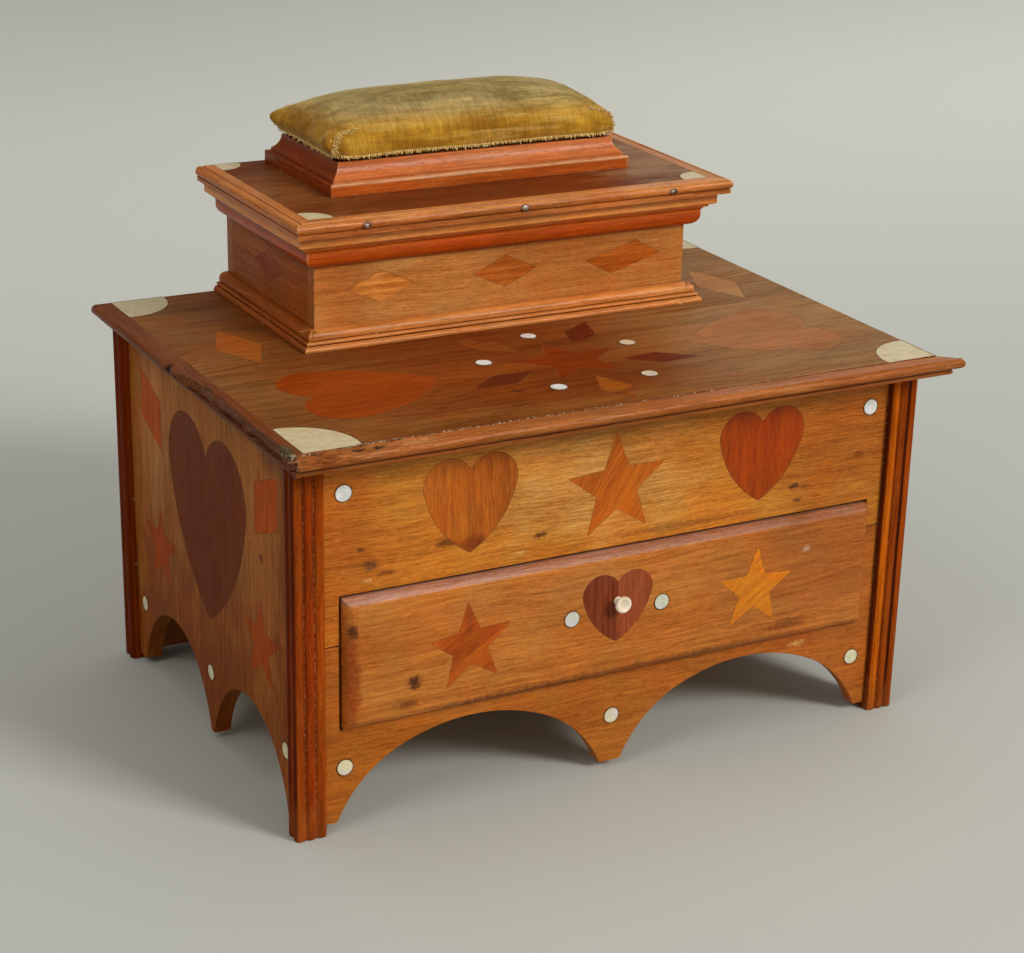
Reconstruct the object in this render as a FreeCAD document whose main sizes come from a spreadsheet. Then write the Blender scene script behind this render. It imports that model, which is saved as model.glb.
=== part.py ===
import FreeCAD, Part
import Sketcher
import math
import os

# Inlaid wooden sewing box in two tiers: a case with a drawer and a lidded well above it,
# a smaller lidded box fixed on the lid, and a pincushion on the small lid.
# Millimetres. X runs to the right, Y to the back, Z up. The pieces are drawn about the
# middle of the case. Each is then moved back by frame_shift, which puts the origin on the
# ground below the middle of the whole box, with its lid's edge and its hinges.

Vector = FreeCAD.Vector

# Driving sizes
SIZES = {
    # Case
    "case_width": 350.0,
    "case_depth": 244.0,
    "case_height": 194.0,
    "post_width": 16.0,
    "reed_depth": 1.2,
    "front_recess": 4.0,
    "side_recess": 5.0,
    "front_thick": 8.0,
    "side_thick": 9.0,
    "apron_lift": 4.0,
    "front_rail": 6.5,
    "front_stile": 8.5,
    "front_foot": 7.0,
    "front_pendant": 12.0,
    "side_rail": 2.5,
    "side_foot": 10.0,
    "side_pendant": 4.0,
    "opening_low": 53.5,
    "bottom_thick": 5.0,
    "well_floor_thick": 6.0,
    # Drawer
    "drawer_height": 67.5,
    "drawer_gap": 1.0,
    "drawer_proud": 6.0,
    "drawer_round": 5.5,
    "drawer_back_gap": 6.0,
    "drawer_side_drop": 10.3,
    "drawer_side_thick": 7.0,
    "drawer_bottom_thick": 4.0,
    "drawer_groove": 3.0,
    "slide_gap": 0.2,
    "guide_gap": 0.5,
    "guide_height": 10.0,
    "drawer_motif_shift": 2.5,
    "knob_length": 7.0,
    "knob_head": 8.8,
    # Main lid
    "lid_inset": 0.5,
    "lid_thick": 9.0,
    "lid_overhang": 12.0,
    "lid_edge_out": 11.0,
    "lid_nose": 5.5,
    "break_length": 139.0,
    "break_width": 5.5,
    "tip_loss": 5.0,
    "chip_length": 38.0,
    "chip_depth": 3.4,
    "chip_width": 3.6,
    # Upper box
    "upper_width": 216.0,
    "upper_depth": 116.0,
    "upper_height": 61.5,
    "upper_thick": 8.0,
    "base_out": 8.5,
    "base_height": 10.0,
    "cornice_out": 12.4,
    "cornice_height": 19.5,
    # Upper lid
    "top_side_over": 7.0,
    "top_front_over": 10.0,
    "top_thick": 7.5,
    "top_edge_out": 10.0,
    # Pincushion and its plinth
    "plinth_side_inset": 28.0,
    "plinth_front_inset": 35.5,
    "plinth_height": 16.0,
    "plinth_wall": 14.0,
    "plinth_back_gap": 3.5,
    "cushion_side_inset": 4.0,
    "cushion_deep_inset": 4.0,
    "cushion_side": 16.0,
    "cushion_crown": 12.5,
    "cushion_pull": 2.0,
    "cushion_gap": 0.3,
    # Inlay
    "inlay_thick": 1.2,
    "pearl_width": 8.6,
    "pearl_proud": 0.3,
    "pearl_from_post": 11.0,
    "side_pearl_from_post": 12.0,
    "bone_reach": 29.0,
    "bone_long_reach": 36.0,
    "top_bone_reach": 14.0,
    # Hinges
    "barrel": 4.6,
    "pin": 2.0,
    "pin_clearance": 0.05,
    "knuckle_gap": 0.3,
    "leaf_thick": 1.2,
    "leaf_width": 9.0,
    "lid_hinge_length": 36.0,
    "lid_hinge_inset": 49.0,
    "top_leaf_width": 6.5,
    "top_hinge_length": 26.0,
    "top_hinge_inset": 46.0,
    # Nails in the front edge of the upper lid
    "nail_width": 2.4,
    "nail_length": 9.0,
    "nail_proud": 0.3,
    # Run of every cut past the wood that it leaves
    "overrun": 3.0,
}

# Outlines as shares of the width and height that they fill.
# A pair is a corner. A pair of pairs is an arc: a place on it, then its end.
HEART_shares = [(0.0, 0.0), ((0.36, 0.345), (0.5, 0.7)), ((0.27, 1.0), (0.0, 0.855)),
                ((-0.27, 1.0), (-0.5, 0.7)), ((-0.36, 0.345), (0.0, 0.0))]
ARCH_shares = [(-1.0, 0.0), ((-0.845, 0.42), (-0.62, 0.735)), ((0.0, 1.0), (0.62, 0.735)),
               ((0.845, 0.42), (1.0, 0.0))]
LID_EDGE_shares = [(0.0, 0.0), (0.72, 0.0), ((1.0, 0.28), (0.78, 0.58)), (0.5, 0.62),
                   (0.52, 0.68), ((0.6, 0.83), (0.5, 1.0)), (0.0, 1.0)]
TOP_EDGE_shares = [(0.0, 0.0), (0.56, 0.0), (0.61, 0.12), (0.67, 0.01), ((1.0, 0.27), (0.95, 0.6)),
                   (0.86, 0.66), (0.93, 0.73), (0.93, 1.0), (0.0, 1.0)]
BASE_shares = [(0.0, 1.0), (0.14, 1.0), ((0.53, 0.86), (0.61, 0.54)), (0.54, 0.5), (0.7, 0.48),
               ((0.81, 0.4), (0.72, 0.31)), (0.68, 0.28), ((0.98, 0.17), (1.0, 0.0)), (0.0, 0.0)]
CORNICE_shares = [(0.0, 0.0), (0.08, 0.0), ((0.38, 0.1), (0.5, 0.36)), (0.5, 0.41),
                  ((0.58, 0.51), (0.74, 0.555)), (0.74, 0.625), (0.92, 0.645),
                  ((0.99, 0.68), (1.0, 0.74)), (1.0, 1.0), (0.0, 1.0)]
PLINTH_shares = [(0.0, 0.0), (1.0, 0.0), (1.0, 0.34), ((0.97, 0.4), (0.9, 0.4)), (0.82, 0.42),
                 (0.82, 0.5), ((0.62, 0.67), (0.5, 1.0)), (0.0, 1.0)]
KNOB_shares = [(0.0, 0.0), (0.5, 0.0), (0.5, 0.08), (0.38, 0.2), (0.38, 0.44), (0.46, 0.54),
               (0.852, 0.66), ((1.0, 0.821), (0.781, 1.0)), (0.62, 1.0), (0.52, 0.96),
               (0.0, 0.96)]
QUADRANT_shares = [(0.0, 0.0), (1.0, 0.0), ((0.76, 0.72), (0.0, 1.0))]
RHOMBUS_shares = [(-0.5, 0.0), (0.0, -0.5), (0.5, 0.0), (0.0, 0.5)]
SPLIT_shares = [(-0.62, 0.0), (-0.2, -0.5), (0.62, 0.0), (0.2, 0.5)]
CHIP_shares = [(0.0, 0.0), (1.0, 0.0), (0.72, 0.55), (0.35, 1.0), (0.0, 0.8)]
BREAK_shares = [(1.0, 0.0), (1.0, 0.83), (0.4, 0.96), (0.0, 1.0), (0.0, 0.0)]

# The stars' inner corners lie at this share of their reach
STAR_WAIST_share = 0.42

# Turns of the stars in degrees: they aren't set quite upright
FRONT_STAR_TURN = 2.0
DRAWER_STAR_TURNS = {-1: 4.0, 1: -2.0}

# The nails' height in the edge of the upper lid, and their places in half its width
NAIL_LEVEL_share = 0.6
NAIL_PLACE_share = 0.765

# The seam of the front boards, left and right, as shares of the drawer's height
SEAM_shares = (0.66, 0.81)

# Places and sizes of the inlays as shares of the field that they decorate. A field's half width
# is taken across and its height upwards.
FRONT_HEART_shares = {"x": 0.516, "low": 0.148, "wide": 0.314, "high": 0.69}
FRONT_STAR_shares = {"x": -0.012, "mid": 0.444, "reach_x": 0.179, "reach_y": 0.4}
FRONT_PEARL_share = 0.722
APRON_PEARL_shares = {"side": 0.68, "pendant": 0.6}
DRAWER_HEART_shares = {"low": 0.29, "wide": 0.266, "high": 0.548}
DRAWER_STAR_shares = {"x": 0.546, "mid": 0.488, "reach_x": 0.157, "reach_y": 0.348}
DRAWER_PEARL_shares = {"x": 0.172, "mid": 0.537}
KNOB_PLACE_share = 0.615
SIDE_HEART_shares = {"low": 0.149, "wide": 0.955, "high": 0.696}
SIDE_STAR_shares = {"x": 0.627, "mid": 0.243, "reach_x": 0.218, "reach_y": 0.162}
SIDE_LOZENGE_shares = {"near": 0.577, "far": 0.836, "low": 0.622, "tall": 0.182, "rise": 0.074}
SIDE_PEARL_share = 0.81
LID_HEART_shares = {"x": 0.4155, "long": 0.441, "wide": 0.514}
LID_STAR_shares = (0.1777, 0.2214)
LID_RING_shares = (0.2493, 0.3107)
LID_RAY_shares = {"near": 0.149, "far": 0.384, "wide": 0.097, "deep": 1.2464}
LID_LOZENGE_shares = {"x": 0.44, "y": 0.147, "wide": 0.43, "long": 0.517}
DIAMOND_shares = {"pitch": 0.657, "long": 0.343, "mid": 0.5625, "high": 0.53, "side_long": 0.64}

# Slices of the pincushion from its middle to its end: place, depth, side height and crown
PAD_shares = [(0.0, 0.985, 1.0, 1.0), (0.45, 0.985, 1.0, 0.93), (0.75, 0.99, 1.0, 0.72),
              (0.9, 0.985, 1.0, 0.5), (0.97, 0.97, 0.97, 0.3), (1.0, 0.93, 0.84, 0.06)]
PAD_FOOT_share = 0.97
PAD_TUCK_share = 0.87
PAD_BULGE_share = 0.5

# Document and sheet
doc = FreeCAD.newDocument("SewingBox")
sheet = doc.addObject("Spreadsheet::Sheet", "Sizes")
for row, (alias, length) in enumerate(SIZES.items(), start=1):
    sheet.set("A%d" % row, alias.replace("_", " "))
    sheet.set("B%d" % row, str(length))
    sheet.setAlias("B%d" % row, alias)
doc.recompute()


class Size:
    """A length of the sheet, or a sum of them, with the formula that binds it."""

    def __init__(self, value, formula):
        self.value = value
        self.formula = formula

    def __add__(self, other):
        other = as_size(other)
        return Size(self.value + other.value, "(%s + %s)" % (self.formula, other.formula))

    def __sub__(self, other):
        other = as_size(other)
        return Size(self.value - other.value, "(%s - %s)" % (self.formula, other.formula))

    def __mul__(self, share):
        return Size(self.value * share, "(%s * %.6f)" % (self.formula, share))

    def __truediv__(self, share):
        return Size(self.value / share, "(%s / %.6f)" % (self.formula, share))

    def __neg__(self):
        return self * -1


def as_size(value):
    return value if isinstance(value, Size) else Size(float(value), "%.6f" % value)


class Sheet:
    """The sheet's cells as sizes, by alias."""


s = Sheet()
for alias in SIZES:
    setattr(s, alias, Size(float(getattr(sheet, alias)), "Sizes." + alias))

ZERO = as_size(0)

# Places that several pieces share
half_width = s.case_width / 2
half_depth = s.case_depth / 2
post_depth = s.front_recess + s.front_thick
post_inner_x = half_width - s.post_width
post_inner_y = half_depth - post_depth
side_face_x = half_width - s.side_recess
inside_x = side_face_x - s.side_thick
front_face = half_depth - s.front_recess
opening_half = post_inner_x - s.front_stile
opening_high = s.opening_low + s.drawer_height + s.drawer_gap * 2
seam_left = s.opening_low + s.drawer_height * SEAM_shares[0]
seam_right = s.opening_low + s.drawer_height * SEAM_shares[1]
front_arch_rise = s.opening_low - s.front_rail - s.apron_lift
side_arch_rise = s.opening_low - s.bottom_thick - s.side_rail - s.apron_lift
front_field = s.case_height - opening_high
side_field = s.case_height - s.apron_lift - side_arch_rise
side_low = s.apron_lift + side_arch_rise
drawer_half = opening_half - s.drawer_gap
drawer_low = s.opening_low + s.drawer_gap
drawer_length = post_inner_y * 2 - s.drawer_back_gap
drawer_face = front_face + s.drawer_proud
lid_low = s.case_height
lid_high = lid_low + s.lid_thick
lid_half = half_width - s.lid_inset
lid_front = half_depth + s.lid_overhang
upper_half = s.upper_width / 2
upper_front = half_depth - s.upper_depth
wall_top = lid_high + s.upper_height
wall_field = s.upper_height - s.base_height - s.cornice_height
diamond_level = lid_high + s.base_height + wall_field * DIAMOND_shares["mid"]
diamond_height = wall_field * DIAMOND_shares["high"]
lid_field = lid_front + upper_front
motif_y = (upper_front - lid_front) / 2
top_half = upper_half + s.top_side_over
top_front = upper_front - s.top_front_over
top_high = wall_top + s.top_thick
plinth_half = top_half - s.plinth_side_inset
plinth_back = half_depth - s.plinth_back_gap
plinth_front = top_front + s.plinth_front_inset
plinth_high = top_high + s.plinth_height
hinge_y = half_depth + s.barrel / 2 + s.knuckle_gap
lid_hinge_x = post_inner_x - s.lid_hinge_inset
top_hinge_x = upper_half - s.top_hinge_inset
frame_shift = (lid_front + s.lid_edge_out - hinge_y - s.barrel / 2) / 2

# The named pieces, and the own place along Y of those that have one
nodes = []
own_y = {}


# Sketch and feature helpers
def body(name):
    new = doc.addObject("PartDesign::Body", name)
    new.Label = name
    nodes.append(new)
    return new


def sketch(owner, plane, height=ZERO):
    """A sketch on an origin plane of its own body, moved along the plane's normal."""
    support = [f for f in owner.Origin.OriginFeatures if f.Role == plane + "_Plane"][0]
    new = owner.newObject("Sketcher::SketchObject", owner.Name + "_sketch")
    new.AttachmentSupport = (support, [""])
    new.MapMode = "FlatFace"
    new.AttachmentOffset = FreeCAD.Placement(Vector(0, 0, height.value), FreeCAD.Rotation())
    new.setExpression("AttachmentOffset.Base.z", height.formula)
    return new


def bind_point(drawing, curve, end, place):
    """Ties one point of a curve to its two sizes."""
    for kind, distance in zip(("DistanceX", "DistanceY"), place):
        index = drawing.addConstraint(
            Sketcher.Constraint(kind, -1, 1, curve, end, distance.value))
        drawing.setExpression("Constraints[%d]" % index, distance.formula)


def outline(drawing, path):
    """Draws a closed outline of lines and arcs, given as corners and arc pairs."""
    corners = [step[-1] if isinstance(step[0], tuple) else step for step in path]
    ends = []
    for index, step in enumerate(path):
        begin = corners[index - 1]
        finish = corners[index]
        if index == 0 and not isinstance(step[0], tuple):
            same = all(abs(a.value - b.value) < 1e-9 for a, b in zip(begin, finish))
            if same:
                continue
        low = Vector(begin[0].value, begin[1].value, 0)
        high = Vector(finish[0].value, finish[1].value, 0)
        if isinstance(step[0], tuple):
            via = Vector(step[0][0].value, step[0][1].value, 0)
            turn = (via - low).cross(high - via).z
            arc = Part.Arc(low, via, high) if turn > 0 else Part.Arc(high, via, low)
            curve = drawing.addGeometry(arc, False)
            ends.append((curve, 1, 2) if turn > 0 else (curve, 2, 1))
            place = drawing.addGeometry(Part.Point(via), True)
            drawing.addConstraint(Sketcher.Constraint("PointOnObject", place, 1, curve))
            bind_point(drawing, place, 1, step[0])
        else:
            curve = drawing.addGeometry(Part.LineSegment(low, high), False)
            ends.append((curve, 1, 2))
        bind_point(drawing, curve, ends[-1][2], finish)
    for (first, _, out), (second, into, _) in zip(ends, ends[1:] + ends[:1]):
        drawing.addConstraint(Sketcher.Constraint("Coincident", first, out, second, into))


def rectangle(drawing, low_x, high_x, low_y, high_y):
    outline(drawing, [(low_x, low_y), (high_x, low_y), (high_x, high_y), (low_x, high_y)])


def circle(drawing, x, y, radius):
    ring = drawing.addGeometry(
        Part.Circle(Vector(x.value, y.value, 0), Vector(0, 0, 1), radius.value), False)
    bind_point(drawing, ring, 3, (x, y))
    index = drawing.addConstraint(Sketcher.Constraint("Radius", ring, radius.value))
    drawing.setExpression("Constraints[%d]" % index, radius.formula)


def placed(shares, x, y, run_x, run_y):
    """An outline of shares, set at x, y and stretched over two signed sizes."""
    def place(pair):
        return (x + run_x * pair[0], y + run_y * pair[1])
    return [(place(step[0]), place(step[1])) if isinstance(step[0], tuple) else place(step)
            for step in shares]


def turned(shares, x, y, run_x, run_y):
    """The same, with the shape's own height laid along X."""
    def place(pair):
        return (x + run_x * pair[1], y + run_y * pair[0])
    return [(place(step[0]), place(step[1])) if isinstance(step[0], tuple) else place(step)
            for step in shares]


def pad(owner, drawing, length, reverse=False):
    new = owner.newObject("PartDesign::Pad", owner.Name + "_pad")
    new.Profile = drawing
    new.Length = length.value
    new.setExpression("Length", length.formula)
    new.Reversed = reverse
    drawing.Visibility = False
    return new


def pocket(owner, drawing, length, reverse=False):
    new = owner.newObject("PartDesign::Pocket", owner.Name + "_pocket")
    new.Profile = drawing
    new.Length = length.value
    new.setExpression("Length", length.formula)
    new.Reversed = reverse
    drawing.Visibility = False
    return new


def plain_box(name, low, high):
    """A rectangular board between two corners."""
    new = doc.addObject("Part::Box", name)
    new.Label = name
    for side, axis, near, far in zip(("Length", "Width", "Height"), "xyz", low, high):
        new.setExpression(side, (far - near).formula)
        new.setExpression("Placement.Base." + axis, near.formula)
    return new


def board(name, low, high):
    new = plain_box(name, low, high)
    own_y[name] = low[1]
    nodes.append(new)
    return new


# Inlay shapes
def star(drawing, x, y, reach_x, reach_y, turn=0.0, points=5):
    corners = []
    for index in range(points * 2):
        angle = math.radians(90.0 + turn + index * 180.0 / points)
        share = 1.0 if index % 2 == 0 else STAR_WAIST_share
        corners.append((x + reach_x * (share * math.cos(angle)),
                        y + reach_y * (share * math.sin(angle))))
    outline(drawing, corners)


def rhombus(drawing, x, y, length, height):
    outline(drawing, placed(RHOMBUS_shares, x, y, length, height))


def quadrant(drawing, x, y, run_x, run_y):
    """A quarter disc with its square corner at x, y."""
    outline(drawing, placed(QUADRANT_shares, x, y, run_x, run_y))


# Case: inlay layouts, drawn alike for the pockets and for what fills them
def front_hearts(drawing):
    shares = FRONT_HEART_shares
    for side in (-1, 1):
        outline(drawing, placed(HEART_shares, post_inner_x * (shares["x"] * side),
                                opening_high + front_field * shares["low"],
                                post_inner_x * shares["wide"], front_field * shares["high"]))


def front_star(drawing):
    shares = FRONT_STAR_shares
    star(drawing, post_inner_x * shares["x"], opening_high + front_field * shares["mid"],
         post_inner_x * shares["reach_x"], front_field * shares["reach_y"], FRONT_STAR_TURN)


def side_hearts(drawing):
    shares = SIDE_HEART_shares
    outline(drawing, placed(HEART_shares, ZERO, side_low + side_field * shares["low"],
                            post_inner_y * shares["wide"], side_field * shares["high"]))


def side_stars(drawing):
    shares = SIDE_STAR_shares
    for side in (-1, 1):
        star(drawing, post_inner_y * (shares["x"] * side), side_low + side_field * shares["mid"],
             post_inner_y * shares["reach_x"], side_field * shares["reach_y"])


def side_lozenges(drawing):
    shares = SIDE_LOZENGE_shares
    low = side_low + side_field * shares["low"]
    rise = side_field * shares["rise"]
    tall = side_field * shares["tall"]
    for side in (-1, 1):
        near = post_inner_y * (shares["near"] * side)
        far = post_inner_y * (shares["far"] * side)
        outline(drawing, [(near, low), (far, low + rise), (far, low + rise + tall),
                          (near, low + tall)])


def high_pearls(drawing):
    for side in (-1, 1):
        circle(drawing, (post_inner_x - s.pearl_from_post) * side,
               opening_high + front_field * FRONT_PEARL_share, s.pearl_width / 2)


def low_pearls(drawing):
    for side in (-1, 1):
        circle(drawing, (post_inner_x - s.pearl_from_post) * side,
               s.apron_lift + front_arch_rise * APRON_PEARL_shares["side"], s.pearl_width / 2)
    circle(drawing, ZERO, s.apron_lift + front_arch_rise * APRON_PEARL_shares["pendant"],
           s.pearl_width / 2)


def side_pearls(drawing):
    for side in (-1, 0, 1):
        circle(drawing, (post_inner_y - s.side_pearl_from_post) * side,
               s.apron_lift + side_arch_rise * SIDE_PEARL_share, s.pearl_width / 2)


def inlay_front(owner, layouts, face, proud=ZERO):
    """Fills pockets in a face that looks to the front."""
    for layout in layouts:
        drawing = sketch(owner, "XZ", face + proud)
        layout(drawing)
        pad(owner, drawing, s.inlay_thick + proud, True)


def inlay_sides(owner, layouts, proud=ZERO):
    """Fills pockets in both side panels."""
    for side in (-1, 1):
        for layout in layouts:
            drawing = sketch(owner, "YZ", (side_face_x + proud) * side)
            layout(drawing)
            pad(owner, drawing, s.inlay_thick + proud, side > 0)


def cut_front(owner, layouts, face):
    for layout in layouts:
        drawing = sketch(owner, "XZ", face)
        layout(drawing)
        pocket(owner, drawing, s.inlay_thick)


# Case: corner posts, reeded on the faces that show
def bead_row(fixed, near, far, count, depth):
    """Beads side by side on one face: pairs of crown and valley along the face."""
    step = (far - near) / count
    return [(near + step * (index + 0.5), near + step * (index + 1), fixed, depth)
            for index in range(count)]


def corner_post(name, side_x, side_y):
    new = body(name)
    drawing = sketch(new, "XY")
    outer_x = half_width * side_x
    outer_y = half_depth * side_y
    groove_x = s.reed_depth * side_x
    groove_y = s.reed_depth * side_y
    path = [(post_inner_x * side_x, post_inner_y * side_y)]
    path.append((outer_x - groove_x, post_inner_y * side_y))
    side_beads = bead_row(outer_x, post_inner_y * side_y, outer_y, 2, groove_x)
    for crown, valley, face, depth in side_beads[:-1]:
        path.append(((face, crown), (face - depth, valley)))
    crown, valley, face, depth = side_beads[-1]
    corner = (outer_x - groove_x / 2, outer_y - groove_y / 2)
    path.append(((face, crown), corner))
    if side_y < 0:
        front_beads = bead_row(outer_y, outer_x, post_inner_x * side_x, 3, groove_y)
        for crown, valley, face, depth in front_beads:
            path.append(((crown, face), (valley, face - depth)))
    else:
        path.append((outer_x - groove_x, outer_y))
        path.append((post_inner_x * side_x, outer_y))
    outline(drawing, path)
    pad(new, drawing, s.case_height)
    return new


# Case: scalloped aprons
def arches(middle_foot, pendant, rise, low):
    """Two arches side by side, from the left foot to the right one."""
    half = (middle_foot - pendant / 2) / 2
    centre = pendant / 2 + half
    steps = []
    for side in (-1, 1):
        steps.extend(placed(ARCH_shares, centre * side, low, half, rise))
    return steps


def front_boards():
    upper = body("front_upper_board")
    drawing = sketch(upper, "XZ", front_face)
    outline(drawing, [(-post_inner_x, seam_left), (-opening_half, seam_left),
                      (-opening_half, opening_high), (opening_half, opening_high),
                      (opening_half, seam_right), (post_inner_x, seam_right),
                      (post_inner_x, s.case_height), (-post_inner_x, s.case_height)])
    pad(upper, drawing, s.front_thick, True)
    cut_front(upper, [front_hearts, front_star, high_pearls], front_face)

    apron = body("front_apron_board")
    drawing = sketch(apron, "XZ", front_face)
    path = [(-post_inner_x, s.apron_lift)]
    path += arches(post_inner_x - s.front_foot, s.front_pendant, front_arch_rise,
                   s.apron_lift)
    path += [(post_inner_x, s.apron_lift), (post_inner_x, seam_right),
             (opening_half, seam_right), (opening_half, s.opening_low),
             (-opening_half, s.opening_low), (-opening_half, seam_left),
             (-post_inner_x, seam_left)]
    outline(drawing, path)
    pad(apron, drawing, s.front_thick, True)
    cut_front(apron, [low_pearls], front_face)


def side_panel(name, side):
    new = body(name)
    drawing = sketch(new, "YZ", side_face_x * side)
    path = [(-post_inner_y, s.apron_lift)]
    path += arches(post_inner_y - s.side_foot, s.side_pendant, side_arch_rise, s.apron_lift)
    path += [(post_inner_y, s.apron_lift), (post_inner_y, s.case_height),
             (-post_inner_y, s.case_height)]
    outline(drawing, path)
    pad(new, drawing, s.side_thick, side > 0)
    for layout in (side_hearts, side_stars, side_lozenges, side_pearls):
        drawing = sketch(new, "YZ", side_face_x * side)
        layout(drawing)
        pocket(new, drawing, s.inlay_thick, side < 0)


def leaf_recess(owner, level, hinge_x, length, width, upward):
    """Recesses that take one leaf of each hinge of a pair."""
    drawing = sketch(owner, "XY", level)
    for side in (-1, 1):
        middle = hinge_x * side
        rectangle(drawing, middle - length / 2, middle + length / 2,
                  half_depth - width, half_depth + s.overrun)
    pocket(owner, drawing, s.leaf_thick, upward)


def case():
    front_boards()
    side_panel("left_side_panel", -1)
    side_panel("right_side_panel", 1)
    back = body("back_panel")
    drawing = sketch(back, "XZ", -half_depth)
    rectangle(drawing, -post_inner_x, post_inner_x, s.apron_lift, s.case_height)
    pad(back, drawing, post_depth)
    leaf_recess(back, lid_low, lid_hinge_x, s.lid_hinge_length, s.leaf_width, False)
    for name_y, side_y in (("front", -1), ("back", 1)):
        for name_x, side_x in (("left", -1), ("right", 1)):
            corner_post("post_%s_%s" % (name_y, name_x), side_x, side_y)
    board("bottom_board", (-inside_x, -post_inner_y, s.opening_low - s.bottom_thick),
          (inside_x, post_inner_y, s.opening_low))
    board("well_floor", (-inside_x, -post_inner_y, opening_high),
          (inside_x, post_inner_y, opening_high + s.well_floor_thick))
    guides = body("drawer_guides")
    drawing = sketch(guides, "XY", s.opening_low)
    for side in (-1, 1):
        rectangle(drawing, (drawer_half + s.guide_gap) * side, inside_x * side,
                  -post_inner_y, -post_inner_y + drawer_length)
    pad(guides, drawing, s.guide_height)

    inlay_front(body("front_heart_inlays"), [front_hearts], front_face)
    inlay_front(body("front_star_inlay"), [front_star], front_face)
    inlay_sides(body("side_heart_inlays"), [side_hearts])
    inlay_sides(body("side_star_inlays"), [side_stars])
    inlay_sides(body("side_lozenge_inlays"), [side_lozenges])
    pearls = body("case_pearls")
    inlay_front(pearls, [high_pearls, low_pearls], front_face, s.pearl_proud)
    inlay_sides(pearls, [side_pearls], s.pearl_proud)


# Drawer
def drawer_heart(drawing):
    shares = DRAWER_HEART_shares
    outline(drawing, placed(HEART_shares, -s.drawer_motif_shift,
                            drawer_low + s.drawer_height * shares["low"],
                            drawer_half * shares["wide"], s.drawer_height * shares["high"]))


def drawer_stars(drawing):
    shares = DRAWER_STAR_shares
    for side, turn in DRAWER_STAR_TURNS.items():
        star(drawing, drawer_half * (shares["x"] * side) - s.drawer_motif_shift,
             drawer_low + s.drawer_height * shares["mid"], drawer_half * shares["reach_x"],
             s.drawer_height * shares["reach_y"], turn)


def drawer_pearls(drawing):
    shares = DRAWER_PEARL_shares
    for side in (-1, 1):
        circle(drawing, drawer_half * (shares["x"] * side) - s.drawer_motif_shift,
               drawer_low + s.drawer_height * shares["mid"], s.pearl_width / 2)


def face_towards(shape, normal):
    """Name of the flat face that looks most the given way and lies furthest out."""
    best = None
    for index, face in enumerate(shape.Faces, start=1):
        if face.normalAt(0, 0).dot(normal) > 0.99:
            reach = face.CenterOfMass.dot(normal)
            if best is None or reach > best[0]:
                best = (reach, "Face%d" % index)
    return best[1]


def drawer():
    high = drawer_low + s.drawer_height
    front = body("drawer_front")
    drawing = sketch(front, "XZ", drawer_face)
    rectangle(drawing, -drawer_half, drawer_half, drawer_low, high)
    block = pad(front, drawing, s.drawer_proud + s.front_thick, True)
    doc.recompute()
    rounding = front.newObject("PartDesign::Fillet", "drawer_front_round")
    rounding.Base = (block, [face_towards(block.Shape, Vector(0, -1, 0))])
    rounding.setExpression("Radius", s.drawer_round.formula)
    cut_front(front, [drawer_heart, drawer_stars, drawer_pearls], drawer_face)

    outer = drawer_half
    inner = outer - s.drawer_side_thick
    board_low = s.opening_low + s.slide_gap
    board_high = high - s.drawer_side_drop
    bottom_low = board_low + s.drawer_groove
    bottom_high = bottom_low + s.drawer_bottom_thick
    fore = -post_inner_y
    rear = fore + drawer_length
    back_face = rear - s.drawer_side_thick
    for name, side in (("drawer_left_side", -1), ("drawer_right_side", 1)):
        new = body(name)
        drawing = sketch(new, "XZ", post_inner_y)
        groove = inner + s.drawer_groove
        outline(drawing, [(outer * side, board_low), (outer * side, board_high),
                          (inner * side, board_high), (inner * side, bottom_high),
                          (groove * side, bottom_high), (groove * side, bottom_low),
                          (inner * side, bottom_low), (inner * side, board_low)])
        pad(new, drawing, drawer_length, True)
    board("drawer_back", (-inner, back_face, bottom_high), (inner, rear, board_high))
    groove = inner + s.drawer_groove
    board("drawer_bottom", (-groove, fore, bottom_low), (groove, rear, bottom_high))
    inlay_front(body("drawer_heart_inlay"), [drawer_heart], drawer_face)
    inlay_front(body("drawer_star_inlays"), [drawer_stars], drawer_face)
    inlay_front(body("drawer_pearls"), [drawer_pearls], drawer_face, s.pearl_proud)

    knob = body("drawer_knob")
    drawing = sketch(knob, "XZ")
    outline(drawing, placed(KNOB_shares, ZERO, ZERO, s.knob_head / 2, s.knob_length))
    turning = knob.newObject("PartDesign::Revolution", "drawer_knob_turning")
    turning.Profile = drawing
    turning.ReferenceAxis = (drawing, ["V_Axis"])
    turning.Angle = 360.0
    knob.Placement = FreeCAD.Placement(Vector(), FreeCAD.Rotation(Vector(1, 0, 0), 90))
    knob_level = drawer_low + s.drawer_height * KNOB_PLACE_share
    knob.setExpression("Placement.Base.x", (-s.drawer_motif_shift).formula)
    knob.setExpression("Placement.Base.z", knob_level.formula)
    own_y["drawer_knob"] = -drawer_face


# Mouldings run along the front and both ends, mitred at the front corners
def front_moulding(name, shares, half, front, out, level, height):
    """A stick along the front, with a mitre at each end. half and front are its inner face."""
    new = body(name)
    drawing = sketch(new, "YZ", -(half + out))
    outline(drawing, placed(shares, -front, level, -out, height))
    pad(new, drawing, (half + out) * 2)
    low = level if height.value > 0 else level + height
    drawing = sketch(new, "XY", low)
    for side in (-1, 1):
        outline(drawing, [((half + out) * side, -(front + out)), ((half + out) * side, -front),
                          (half * side, -front)])
    pocket(new, drawing, height if height.value > 0 else -height, True)
    return new


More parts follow.
